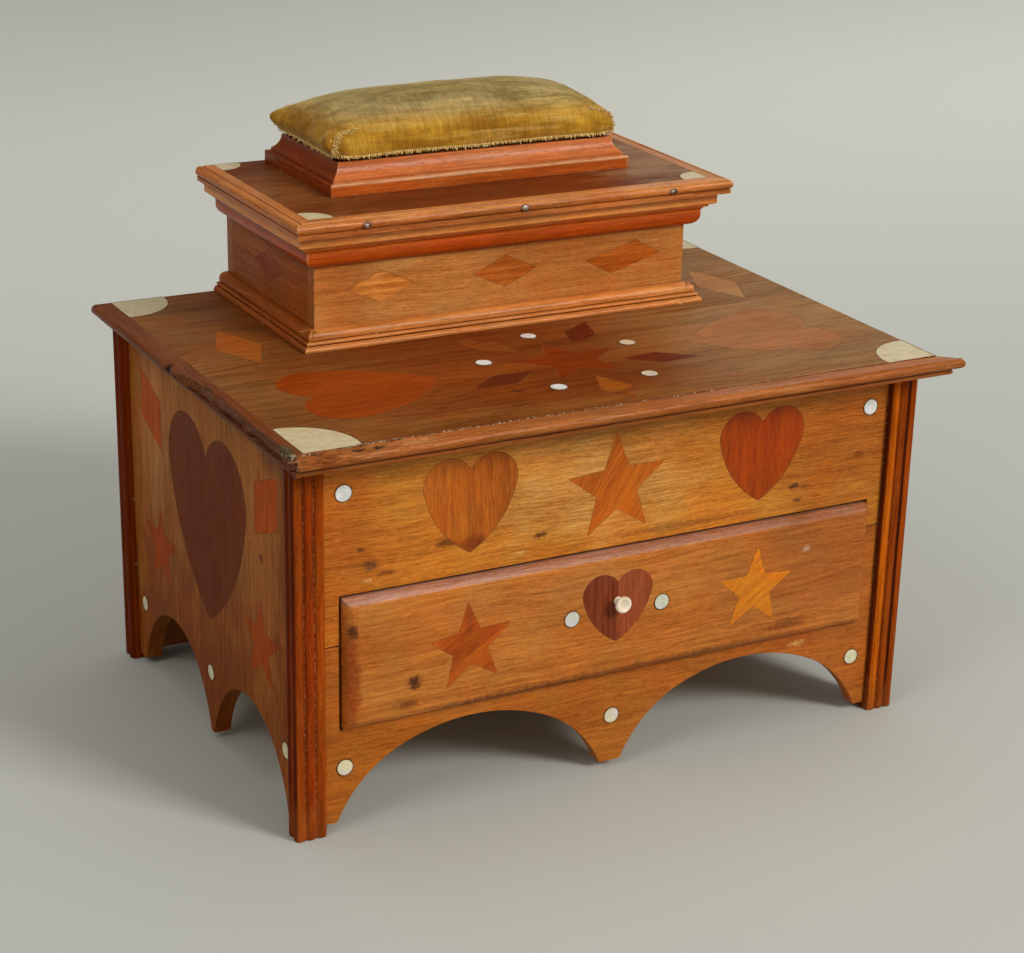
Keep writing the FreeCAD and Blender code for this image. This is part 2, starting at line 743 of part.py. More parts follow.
def end_moulding(name, shares, sides, half, front, out, level, height):
    """The sticks along the ends, mitred to the front one and square at the back."""
    new = body(name)
    drawing = sketch(new, "XZ", -half_depth)
    for side in sides:
        outline(drawing, placed(shares, half * side, level, out * side, height))
    pad(new, drawing, half_depth + front + out)
    low = level if height.value > 0 else level + height
    drawing = sketch(new, "XY", low)
    for side in sides:
        outline(drawing, [((half + out) * side, -(front + out)), (half * side, -(front + out)),
                          (half * side, -front)])
    pocket(new, drawing, height if height.value > 0 else -height, True)
    return new


# Main lid
def lid_hearts(drawing):
    shares = LID_HEART_shares
    for side in (-1, 1):
        outline(drawing, turned(HEART_shares, lid_half * (shares["x"] * side), motif_y,
                                lid_half * (shares["long"] * side), lid_field * shares["wide"]))


def lid_star(drawing):
    star(drawing, ZERO, motif_y, lid_half * LID_STAR_shares[0], lid_field * LID_STAR_shares[1])


def ring_places(count=5, first=90.0):
    step = 360.0 / count
    return [math.radians(first + step * index) for index in range(count)]


def lid_pearls(drawing):
    for angle in ring_places():
        circle(drawing, lid_half * (LID_RING_shares[0] * math.cos(angle)),
               motif_y + lid_field * (LID_RING_shares[1] * math.sin(angle)), s.pearl_width / 2)


def lid_rhombi(drawing):
    """Five rays round the star, and a lozenge on each side of the upper box."""
    shares = LID_RAY_shares
    middle = (shares["near"] + shares["far"]) / 2
    places = [(shares["near"], 0.0), (middle, -shares["wide"] / 2), (shares["far"], 0.0),
              (middle, shares["wide"] / 2)]
    for angle in ring_places(first=54.0):
        along = (math.cos(angle), math.sin(angle))
        outline(drawing, [(lid_half * (a * along[0] - b * along[1]),
                           motif_y + lid_field * (shares["deep"] * (a * along[1] + b * along[0])))
                          for a, b in places])
    shares = LID_LOZENGE_shares
    strip_low = upper_half + s.base_out
    strip = lid_half - strip_low
    for side in (-1, 1):
        rhombus(drawing, (strip_low + strip * shares["x"]) * side,
                upper_front + s.upper_depth * shares["y"],
                strip * shares["wide"], s.upper_depth * shares["long"])


def lid_bones(drawing):
    quadrant(drawing, -lid_half, -lid_front, s.bone_reach, s.bone_long_reach)
    quadrant(drawing, lid_half, -lid_front, -s.bone_reach, s.bone_reach)
    for side in (-1, 1):
        quadrant(drawing, lid_half * side, half_depth, s.bone_reach * -side, -s.bone_reach)


def inlay_top(owner, layouts, level, proud=ZERO):
    for layout in layouts:
        drawing = sketch(owner, "XY", level - s.inlay_thick)
        layout(drawing)
        pad(owner, drawing, s.inlay_thick + proud)


def cut_top(owner, layouts, level):
    for layout in layouts:
        drawing = sketch(owner, "XY", level)
        layout(drawing)
        pocket(owner, drawing, s.inlay_thick)


def main_lid():
    lid = body("lid_board")
    drawing = sketch(lid, "XY", lid_low)
    rectangle(drawing, -lid_half, lid_half, -lid_front, half_depth)
    pad(lid, drawing, s.lid_thick)
    cut_top(lid, [lid_hearts, lid_star, lid_rhombi, lid_pearls, lid_bones], lid_high)
    leaf_recess(lid, lid_low, lid_hinge_x, s.lid_hinge_length, s.leaf_width, True)

    # The front stick has lost its left tip, and its bead is chipped beside it
    stick = front_moulding("lid_front_moulding", LID_EDGE_shares, lid_half, lid_front,
                           s.lid_edge_out, lid_high, -s.lid_thick)
    end = -(lid_half + s.lid_edge_out)
    edge = -(lid_front + s.lid_edge_out)
    drawing = sketch(stick, "XY", lid_high)
    rectangle(drawing, end - s.overrun, end + s.tip_loss, edge - s.overrun, -lid_front)
    pocket(stick, drawing, s.lid_thick)
    drawing = sketch(stick, "XY", lid_high)
    outline(drawing, placed(CHIP_shares, end, edge - s.overrun, s.tip_loss + s.chip_length,
                            s.overrun + s.chip_width))
    pocket(stick, drawing, s.chip_depth)

    # The left stick keeps its bead only towards the back. The right stick is lost.
    stick = end_moulding("lid_left_moulding", LID_EDGE_shares, (-1,), lid_half, lid_front,
                         s.lid_edge_out, lid_high, -s.lid_thick)
    drawing = sketch(stick, "XY", lid_high)
    outline(drawing, placed(BREAK_shares, end - s.overrun, edge - s.overrun,
                            s.overrun + s.break_width,
                            s.overrun + s.lid_edge_out + s.break_length))
    pocket(stick, drawing, s.lid_nose)

    inlay_top(body("lid_heart_inlays"), [lid_hearts], lid_high)
    inlay_top(body("lid_star_inlay"), [lid_star], lid_high)
    inlay_top(body("lid_rhombus_inlays"), [lid_rhombi], lid_high)
    inlay_top(body("lid_pearls"), [lid_pearls], lid_high, s.pearl_proud)
    inlay_top(body("lid_bone_corners"), [lid_bones], lid_high)


# Upper box, fixed on the main lid
def plain_diamonds(drawing):
    shares = DIAMOND_shares
    for place in (-1, 0):
        rhombus(drawing, upper_half * (shares["pitch"] * place), diamond_level,
                upper_half * shares["long"], diamond_height)


def split_diamond():
    """Corners of the right-hand diamond, whose two pieces meet on a slant."""
    shares = DIAMOND_shares
    return placed(SPLIT_shares, upper_half * shares["pitch"], diamond_level,
                  upper_half * shares["long"], diamond_height)


def front_diamonds(drawing):
    plain_diamonds(drawing)
    outline(drawing, split_diamond())


def side_diamond(drawing):
    rhombus(drawing, half_depth - s.upper_depth / 2, diamond_level,
            s.upper_depth / 2 * DIAMOND_shares["side_long"], diamond_height)


def upper_box():
    front = body("upper_front_wall")
    drawing = sketch(front, "XZ", -upper_front)
    rectangle(drawing, -upper_half, upper_half, lid_high, wall_top)
    pad(front, drawing, s.upper_thick, True)
    cut_front(front, [front_diamonds], -upper_front)

    back = body("upper_back_wall")
    drawing = sketch(back, "XZ", -half_depth)
    rectangle(drawing, -upper_half, upper_half, lid_high, wall_top)
    pad(back, drawing, s.upper_thick)
    leaf_recess(back, wall_top, top_hinge_x, s.top_hinge_length, s.top_leaf_width, False)

    for name, side in (("upper_left_wall", -1), ("upper_right_wall", 1)):
        wall = body(name)
        drawing = sketch(wall, "YZ", upper_half * side)
        rectangle(drawing, upper_front + s.upper_thick, half_depth - s.upper_thick,
                  lid_high, wall_top)
        pad(wall, drawing, s.upper_thick, side > 0)
        drawing = sketch(wall, "YZ", upper_half * side)
        side_diamond(drawing)
        pocket(wall, drawing, s.inlay_thick, side < 0)

    diamonds = body("upper_diamond_inlays")
    inlay_front(diamonds, [plain_diamonds], -upper_front)
    left, low, right, high = split_diamond()
    for outer in (left, right):
        drawing = sketch(diamonds, "XZ", -upper_front)
        outline(drawing, [outer, low, high])
        pad(diamonds, drawing, s.inlay_thick, True)
    for side in (-1, 1):
        drawing = sketch(diamonds, "YZ", upper_half * side)
        side_diamond(drawing)
        pad(diamonds, drawing, s.inlay_thick, side > 0)

    front_moulding("base_front_moulding", BASE_shares, upper_half, -upper_front,
                   s.base_out, lid_high, s.base_height)
    end_moulding("base_end_mouldings", BASE_shares, (-1, 1), upper_half, -upper_front,
                 s.base_out, lid_high, s.base_height)
    cornice_low = wall_top - s.cornice_height
    front_moulding("cornice_front_moulding", CORNICE_shares, upper_half, -upper_front,
                   s.cornice_out, cornice_low, s.cornice_height)
    end_moulding("cornice_end_mouldings", CORNICE_shares, (-1, 1), upper_half, -upper_front,
                 s.cornice_out, cornice_low, s.cornice_height)


# Upper lid
def top_bones(drawing):
    for side in (-1, 1):
        quadrant(drawing, top_half * side, top_front, s.top_bone_reach * -side,
                 s.top_bone_reach)
        quadrant(drawing, top_half * side, half_depth, s.top_bone_reach * -side,
                 -s.top_bone_reach)


def upper_lid():
    lid = body("upper_lid_board")
    drawing = sketch(lid, "XY", wall_top)
    rectangle(drawing, -top_half, top_half, top_front, half_depth)
    pad(lid, drawing, s.top_thick)
    cut_top(lid, [top_bones], top_high)
    leaf_recess(lid, wall_top, top_hinge_x, s.top_hinge_length, s.top_leaf_width, True)
    inlay_top(body("upper_lid_bone_corners"), [top_bones], top_high)
    stick = front_moulding("upper_lid_front_moulding", TOP_EDGE_shares, top_half, -top_front,
                           s.top_edge_out, top_high, -s.top_thick)
    end_moulding("upper_lid_end_mouldings", TOP_EDGE_shares, (-1, 1), top_half, -top_front,
                 s.top_edge_out, top_high, -s.top_thick)

    # Three nails hold the front stick
    nail_face = s.top_edge_out - top_front

    def nail_row(drawing):
        for place in (-1, 0, 1):
            circle(drawing, top_half * (NAIL_PLACE_share * place),
                   wall_top + s.top_thick * NAIL_LEVEL_share, s.nail_width / 2)

    drawing = sketch(stick, "XZ", nail_face + s.nail_proud)
    nail_row(drawing)
    pocket(stick, drawing, s.nail_proud + s.nail_length)
    nails = body("upper_lid_nails")
    drawing = sketch(nails, "XZ", nail_face + s.nail_proud)
    nail_row(drawing)
    pad(nails, drawing, s.nail_proud + s.nail_length, True)


# Pincushion: a mitred frame round a block, with the pad on top
def plinth():
    inner_half = plinth_half - s.plinth_wall
    inner_front = plinth_front + s.plinth_wall
    inner_back = plinth_back - s.plinth_wall
    board("plinth_block", (-inner_half, inner_front, top_high),
          (inner_half, inner_back, plinth_high))

    long_sticks = body("plinth_long_mouldings")
    drawing = sketch(long_sticks, "YZ", -plinth_half)
    outline(drawing, placed(PLINTH_shares, inner_front, top_high, -s.plinth_wall,
                            s.plinth_height))
    outline(drawing, placed(PLINTH_shares, inner_back, top_high, s.plinth_wall,
                            s.plinth_height))
    pad(long_sticks, drawing, plinth_half * 2)
    drawing = sketch(long_sticks, "XY", top_high)
    for side in (-1, 1):
        for outer, inner in ((plinth_front, inner_front), (plinth_back, inner_back)):
            outline(drawing, [(plinth_half * side, outer), (plinth_half * side, inner),
                              (inner_half * side, inner)])
    pocket(long_sticks, drawing, s.plinth_height, True)

    end_sticks = body("plinth_end_mouldings")
    drawing = sketch(end_sticks, "XZ", -plinth_back)
    for side in (-1, 1):
        outline(drawing, placed(PLINTH_shares, inner_half * side, top_high,
                                s.plinth_wall * side, s.plinth_height))
    pad(end_sticks, drawing, plinth_back - plinth_front)
    drawing = sketch(end_sticks, "XY", top_high)
    for side in (-1, 1):
        for outer, inner in ((plinth_front, inner_front), (plinth_back, inner_back)):
            outline(drawing, [(plinth_half * side, outer), (inner_half * side, outer),
                              (inner_half * side, inner)])
    pocket(end_sticks, drawing, s.plinth_height, True)


def pad_section(x, depth, shoulder, crown, low, middle):
    """A closed slice of the pad: flat foot, bulged sides and a crowned top."""
    half = depth / 2
    foot = half * PAD_FOOT_share
    tuck = half * PAD_TUCK_share
    bulge = shoulder * PAD_BULGE_share
    front_foot = Vector(x, middle - foot, low)
    back_foot = Vector(x, middle + foot, low)
    front_top = Vector(x, middle - tuck, low + shoulder)
    back_top = Vector(x, middle + tuck, low + shoulder)
    edges = [Part.LineSegment(front_foot, back_foot),
             Part.Arc(back_foot, Vector(x, middle + half, low + bulge), back_top),
             Part.Arc(back_top, Vector(x, middle, low + shoulder + crown), front_top),
             Part.Arc(front_top, Vector(x, middle - half, low + bulge), front_foot)]
    return Part.Wire([edge.toShape() for edge in edges])


def pincushion():
    """The pad: sides drawn in a little at the middle of its length, and a crowned top."""
    low = plinth_high.value + s.cushion_gap.value
    middle = (plinth_front.value + plinth_back.value) / 2
    half = plinth_half.value - s.cushion_side_inset.value
    deep = plinth_back.value - plinth_front.value - s.cushion_deep_inset.value * 2
    slices = [(-place, share, side, crown) for place, share, side, crown in PAD_shares[:0:-1]]
    sections = []
    for place, share, side, crown in slices + PAD_shares:
        waist = s.cushion_pull.value * (1 - place * place)
        sections.append(pad_section(place * half, deep * share - waist,
                                    s.cushion_side.value * side,
                                    s.cushion_crown.value * crown, low, middle))
    new = doc.addObject("Part::Feature", "pincushion")
    new.Label = "pincushion"
    new.Shape = Part.makeLoft(sections, True, True)
    nodes.append(new)


# Hinges: butt hinges with the pin just behind the back face
def rod(name, x, y, z, radius, length):
    new = doc.addObject("Part::Cylinder", name)
    new.Placement = FreeCAD.Placement(Vector(), FreeCAD.Rotation(Vector(0, 1, 0), 90))
    new.setExpression("Radius", radius.formula)
    new.setExpression("Height", length.formula)
    for axis, place in zip("xyz", (x, y, z)):
        new.setExpression("Placement.Base." + axis, place.formula)
    return new


def leaf(name, middle, level, length, width, knuckles, upward):
    """One leaf: a plate let into the wood, with its knuckles behind the back face."""
    low = level if upward else level - s.leaf_thick
    high = low + s.leaf_thick
    solids = [plain_box(name + "_plate", (middle - length / 2, half_depth - width, low),
                        (middle + length / 2, half_depth, high))]
    for index, (begin, finish) in enumerate(knuckles):
        solids.append(plain_box("%s_web_%d" % (name, index),
                                (middle + begin, half_depth, low),
                                (middle + finish, hinge_y, high)))
        solids.append(rod("%s_knuckle_%d" % (name, index), middle + begin, hinge_y, level,
                          s.barrel / 2, finish - begin))
    fused = doc.addObject("Part::MultiFuse", name + "_fuse")
    fused.Shapes = solids
    bore = rod(name + "_bore", middle - length / 2 - s.overrun, hinge_y, level,
               s.pin / 2 + s.pin_clearance, length + s.overrun * 2)
    cut = doc.addObject("Part::Cut", name + "_cut")
    cut.Base = fused
    cut.Tool = bore
    return cut


def group(name, members):
    new = doc.addObject("Part::Compound", name)
    new.Label = name
    new.Links = members
    nodes.append(new)


def hinge_pair(prefix, level, hinge_x, length, width, fixed_name, moving_name):
    third = length / 6
    gap = s.knuckle_gap / 2
    outer = [(-length / 2, -third - gap), (third + gap, length / 2)]
    inner = [(-third + gap, third - gap)]
    fixed = []
    moving = []
    pins = []
    for index, side in enumerate((-1, 1)):
        middle = hinge_x * side
        tag = "%s_%d" % (prefix, index)
        fixed.append(leaf(tag + "_fixed", middle, level, length, width, outer, False))
        moving.append(leaf(tag + "_moving", middle, level, length, width, inner, True))
        pins.append(rod(tag + "_pin", middle - length / 2, hinge_y, level, s.pin / 2, length))
    group(fixed_name, fixed)
    group(moving_name, moving)
    group(prefix + "_hinge_pins", pins)


def settle():
    """Moves every piece from the middle of the case to the part's own frame."""
    for node in nodes:
        place = own_y.get(node.Label, ZERO) + frame_shift
        node.setExpression("Placement.Base.y", place.formula)


def check_and_write():
    """Stops on any failed object, then writes one file for each named piece."""
    doc.recompute()
    for item in doc.Objects:
        if "Invalid" in item.State or "Error" in item.State:
            raise RuntimeError("failed object: %s %s" % (item.Name, item.State))
    for item in doc.Objects:
        if item.TypeId == "PartDesign::Pocket":
            removed = item.BaseFeature.Shape.Volume - item.Shape.Volume
            if removed <= 0:
                raise RuntimeError("pocket cuts nothing: %s" % item.Name)
    for node in nodes:
        if node.Shape.isNull() or not node.Shape.isValid():
            raise RuntimeError("bad shape: %s" % node.Label)
    os.makedirs("parts", exist_ok=True)
    for node in nodes:
        node.Shape.exportStep("parts/%s.step" % node.Label)
    print("%d pieces" % len(nodes))


case()
drawer()
main_lid()
upper_box()
upper_lid()
plinth()
pincushion()
hinge_pair("lid", lid_low, lid_hinge_x, s.lid_hinge_length, s.leaf_width,
           "lid_hinge_case_leaves", "lid_hinge_lid_leaves")
hinge_pair("upper", wall_top, top_hinge_x, s.top_hinge_length, s.top_leaf_width,
           "upper_hinge_wall_leaves", "upper_hinge_lid_leaves")
settle()
check_and_write()
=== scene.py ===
import math
import random
from contextlib import contextmanager

import bpy
import bmesh
from mathutils import Matrix, Vector, noise
from mathutils.bvhtree import BVHTree


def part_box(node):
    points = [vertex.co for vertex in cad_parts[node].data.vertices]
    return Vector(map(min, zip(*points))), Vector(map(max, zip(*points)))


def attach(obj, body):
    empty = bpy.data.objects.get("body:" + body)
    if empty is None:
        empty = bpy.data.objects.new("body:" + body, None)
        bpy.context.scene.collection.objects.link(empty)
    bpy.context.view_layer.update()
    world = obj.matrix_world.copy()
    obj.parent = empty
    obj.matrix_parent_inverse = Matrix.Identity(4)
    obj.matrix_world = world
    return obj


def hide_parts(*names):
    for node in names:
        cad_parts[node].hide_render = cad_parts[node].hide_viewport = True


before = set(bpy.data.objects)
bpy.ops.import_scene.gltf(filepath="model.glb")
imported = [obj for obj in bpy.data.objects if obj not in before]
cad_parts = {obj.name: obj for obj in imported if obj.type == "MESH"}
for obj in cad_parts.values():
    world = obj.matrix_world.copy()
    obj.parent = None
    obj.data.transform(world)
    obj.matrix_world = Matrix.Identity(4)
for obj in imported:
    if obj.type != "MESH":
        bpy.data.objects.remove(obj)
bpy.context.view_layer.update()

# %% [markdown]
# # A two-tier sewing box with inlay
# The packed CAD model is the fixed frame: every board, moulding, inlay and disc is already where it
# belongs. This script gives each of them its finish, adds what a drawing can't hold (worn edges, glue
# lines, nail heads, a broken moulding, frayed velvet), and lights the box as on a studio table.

scene = bpy.context.scene
scene.view_settings.view_transform = "Standard"
MM = 0.001


def box_of(node):
    """The lowest and highest corner of a node and its middle."""
    low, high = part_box(node)
    return low, high, (low + high) / 2


# %% [markdown]
# ## Camera
# The photograph looks down on the box from its left front corner. The direction, distance and lens were
# worked out from the straight edges of the case, so the camera is given by its three axes.

# %% Camera
RIGHT = Vector((0.87912, -0.47596, 0.02454))
UP = Vector((0.15793, 0.33951, 0.92725))
BACK = Vector((-0.44966, -0.81129, 0.37364))
lens = bpy.data.cameras.new("camera")
lens.sensor_width = 36
lens.lens = 84.896
lens.shift_x = -0.02354
lens.shift_y = 0.05715
lens.clip_end = 30
camera = bpy.data.objects.new("camera", lens)
scene.collection.objects.link(camera)
turn = Matrix((RIGHT, UP, BACK)).transposed().to_4x4()
camera.matrix_world = Matrix.Translation((-0.57131, -1.05609, 0.57255)) @ turn
scene.camera = camera
print("camera at", [round(v, 3) for v in camera.matrix_world.translation])

# %% [markdown]
# ## Sums of sockets
# A finish is a sum of noises, stripes and masks, and so is a tree that grows threads or screws. Written
# as node links that is hard to read, so one small class stands for a socket, and Python's own signs add
# the Math nodes. Another class stands for the tree, and its one method adds any node.


# %% A socket that can be used in sums
class Wire:
    """A socket of a node. A sum of wires and numbers adds the Math nodes for it."""

    def __init__(self, graph, socket):
        self.graph, self.socket = graph, socket

    def sum(self, operation, *values):
        return self.graph.node("ShaderNodeMath", {"operation": operation}, dict(enumerate(values)))

    def __add__(self, other):
        return self.sum("ADD", self, other)

    def __sub__(self, other):
        return self.sum("SUBTRACT", self, other)

    def __mul__(self, other):
        return self.sum("MULTIPLY", self, other)

    def __truediv__(self, other):
        return self.sum("DIVIDE", self, other)

    def __pow__(self, other):
        return self.sum("POWER", self, other)

    def __rsub__(self, other):
        return self.sum("SUBTRACT", other, self)

    __radd__, __rmul__ = __add__, __mul__

    def rise(self, low, high):
        """0 below low, 1 above high and smooth between them. With low above high it falls."""
        return self.graph.node("ShaderNodeMapRange", {"interpolation_type": "SMOOTHSTEP"},
                               {"Value": self, "From Min": low, "From Max": high})

    def limit(self):
        return self.sum("MINIMUM", self.sum("MAXIMUM", self, 0), 1)

    def most(self, other):
        return self.sum("MAXIMUM", self, other)


# %% A tree of nodes
class Graph:
    """A node tree. Its one method adds a node: settings first, then the values or links."""

    def __init__(self, tree):
        self.tree = tree
        tree.nodes.clear()

    def node(self, kind, settings={}, values={}, out=0):
        made = self.tree.nodes.new(kind)
        for name, value in settings.items():
            setattr(made, name, value)
        for key, value in values.items():
            if isinstance(value, Wire):
                self.tree.links.new(value.socket, made.inputs[key])
            elif value is not None:
                made.inputs[key].default_value = value
        return Wire(self, made.outputs[out]) if len(made.outputs) else made

    def vector(self, operation, *values, out=0):
        return self.node("ShaderNodeVectorMath", {"operation": operation}, dict(enumerate(values)), out)

    def scaled(self, vector, share):
        return self.node("ShaderNodeVectorMath", {"operation": "SCALE"}, {0: vector, "Scale": share})

    def joined(self, x, y, z):
        return self.node("ShaderNodeCombineXYZ", {}, {0: x, 1: y, 2: z})


# %% A finish that is built from wires
def paint(red, green, blue):
    """A colour as a screen shows it, 0 to 255, in the linear numbers that a shader takes."""
    shares = [v / 255 for v in (red, green, blue)]
    return tuple(v / 12.92 if v <= 0.04045 else ((v + 0.055) / 1.055) ** 2.4 for v in shares) + (1,)


class Finish(Graph):
    """One material. Its place is the object's own coordinates in metres."""

    def __init__(self, name):
        self.material = bpy.data.materials.new(name)
        self.material.use_nodes = True
        super().__init__(self.material.node_tree)
        self.place = self.node("ShaderNodeTexCoord", out="Object")

    def along(self, direction, start=(0, 0, 0)):
        """How far a point is from start in that direction, in metres."""
        reach = self.vector("DOT_PRODUCT", self.place, tuple(direction), out="Value")
        return reach - Vector(start).dot(Vector(direction))

    def noise(self, where, scale=1.0, detail=2.0, rough=0.5, twist=0.0):
        return self.node("ShaderNodeTexNoise", {}, {
            "Vector": where, "Scale": scale, "Detail": detail, "Roughness": rough, "Distortion": twist})

    def streaked(self, scales, detail=2.0, rough=0.5, twist=0.0):
        """Noise with a scale of its own along x, y and z."""
        return self.noise(self.vector("MULTIPLY", self.place, scales), 1.0, detail, rough, twist)

    def mix(self, share, first, second):
        return self.node("ShaderNodeMix", {"data_type": "RGBA", "clamp_factor": True},
                         {0: share, 6: first, 7: second}, out=2)

    def coats(self, colour, *coats):
        """The colour with coats over it, each a share and a tone."""
        for share, tone in coats:
            colour = self.mix(share, colour, paint(*tone))
        return colour

    def dim(self, colour, share):
        """The colour times a number."""
        return self.scaled(colour if isinstance(colour, Wire) else colour[:3], share)

    def patch(self, middle, reach, ragged):
        """1 about middle and 0 beyond reach, both in mm. Noise makes its edge ragged."""
        apart = self.vector("SUBTRACT", self.place, tuple(v * MM for v in middle))
        apart = self.vector("MULTIPLY", apart, tuple(1 / (v * MM) for v in reach))
        far = self.vector("LENGTH", apart, out="Value") + (ragged - 0.5) * 1.7
        return far.rise(1.1, 0.25)

    def band(self, axis, low, high, soft=0.4):
        """1 between two levels in mm along an axis."""
        level = self.along(Vector([axis == a for a in "xyz"]))
        return (level.rise((low - soft) * MM, (low + soft) * MM)
                * level.rise((high + soft) * MM, (high - soft) * MM))

    def crevice(self, reach, inside=False):
        """0 on open surfaces and 1 in a corner. Inside finds the sharp outer edges instead."""
        return 1 - self.node("ShaderNodeAmbientOcclusion", {"samples": 6, "inside": inside},
                             {"Distance": reach}, out="AO")

    def bump(self, height, depth, strength=1.0):
        return self.node("ShaderNodeBump", {}, {"Height": height, "Distance": depth, "Strength": strength})

    def shade(self, colour, roughness, normal=None, metallic=0.0, **fixed):
        values = {"Base Color": colour, "Roughness": roughness, "Metallic": metallic, "Normal": normal}
        values.update({name.replace("_", " "): value for name, value in fixed.items()})
        surface = self.node("ShaderNodeBsdfPrincipled", {}, values)
        self.node("ShaderNodeOutputMaterial", {}, {"Surface": surface})
        return self.material


print("the socket class knows", [n for n in vars(Wire) if n.startswith("__")][:9])

# %% [markdown]
# ## Floor and light
# The box stands on a sheet of pale grey paper that fills the picture. Its tone holds painted light: a
# little darker towards the left and the front, lighter towards the right and the back, most at the back
# right. A large soft lamp stands in front, to the right, so the left side is darker and the shadow falls
# softly to the left and the back. A weak lamp on the left fills it, and one overhead lights the lids. The
# paper must look pale to the camera without lighting the wood, and polished wood should mirror it only
# from the back, so the world behind it is told apart by its kind of ray.

# %% Floor
PAPER = paint(198, 199, 190)
floor_mesh = bpy.data.meshes.new("floor")
floor_mesh.from_pydata([(-12, -12, 0), (12, -12, 0), (12, 12, 0), (-12, 12, 0)], [], [(0, 1, 2, 3)])
floor = bpy.data.objects.new("floor", floor_mesh)
scene.collection.objects.link(floor)
paper = Finish("pale paper")
# The paper's tone is painted light: it grows lighter towards the right and towards the back.
to_right, to_back = paper.along(RIGHT).rise(-0.7, 1.1), paper.along((0, 1, 0)).rise(0.0, 1.5)
paper_painted_light = (paper.noise(paper.place, 3.0, 3) * 0.03 + 0.84 + to_right * 0.11
              + to_back * (to_right * 0.335 + 0.437))
floor_mesh.materials.append(paper.shade(paper.dim(PAPER, paper_painted_light), 0.9, Specular_IOR_Level=0.15))

# %% World
world = bpy.data.worlds.new("studio")
scene.world = world
world.use_nodes = True
sky = Graph(world.node_tree)
rays = {name: sky.node("ShaderNodeLightPath", out=name)
        for name in ("Is Camera Ray", "Is Glossy Ray", "Is Transmission Ray")}
direction = sky.node("ShaderNodeTexCoord", out="Generated")
towards_back = (sky.vector("DOT_PRODUCT", direction, (1, 0, 0), out="Value").rise(0.3, 0.62)
                * sky.vector("DOT_PRODUCT", direction, (0, 1, 0), out="Value").rise(0.2, 0.6))
glow = sky.node("ShaderNodeBackground", {}, {"Color": (1, 0.985, 0.96, 1), "Strength": 0.34})
wall = sky.node("ShaderNodeBackground", {}, {"Color": PAPER, "Strength": 1.0})
mirrored = sky.node("ShaderNodeBackground", {}, {"Color": PAPER, "Strength": 0.2 + towards_back * 1.2})
lit = sky.node("ShaderNodeMixShader", {}, {0: rays["Is Glossy Ray"], 1: glow, 2: mirrored})
seen = rays["Is Camera Ray"].most(rays["Is Transmission Ray"])
sky.node("ShaderNodeOutputWorld", {}, {
    "Surface": sky.node("ShaderNodeMixShader", {}, {0: seen, 1: lit, 2: wall})})


# %% Lamps
def lamp(name, place, aim, size, power, colour=(1, 1, 1)):
    light = bpy.data.lights.new(name, "AREA")
    light.shape = "RECTANGLE"
    light.size, light.size_y = size
    light.energy = power
    light.color = colour
    lamp_object = bpy.data.objects.new(name, light)
    lamp_object.matrix_world = Matrix.Translation(place) @ (
        Vector(place) - Vector(aim)).to_track_quat("Z", "Y").to_matrix().to_4x4()
    scene.collection.objects.link(lamp_object)


lamp("key", (1.85, -3.45, 2.6), (0, 0, 0.15), (1.3, 1.3), 136, (1, 0.985, 0.955))
lamp("overhead", (0.1, 0.3, 2.4), (0, 0, 0.2), (2.0, 1.6), 10, (0.97, 0.985, 1))
lamp("left fill", (-2.0, -0.8, 2.2), (0, 0, 0.15), (1.2, 1.2), 16, (1, 0.98, 0.93))
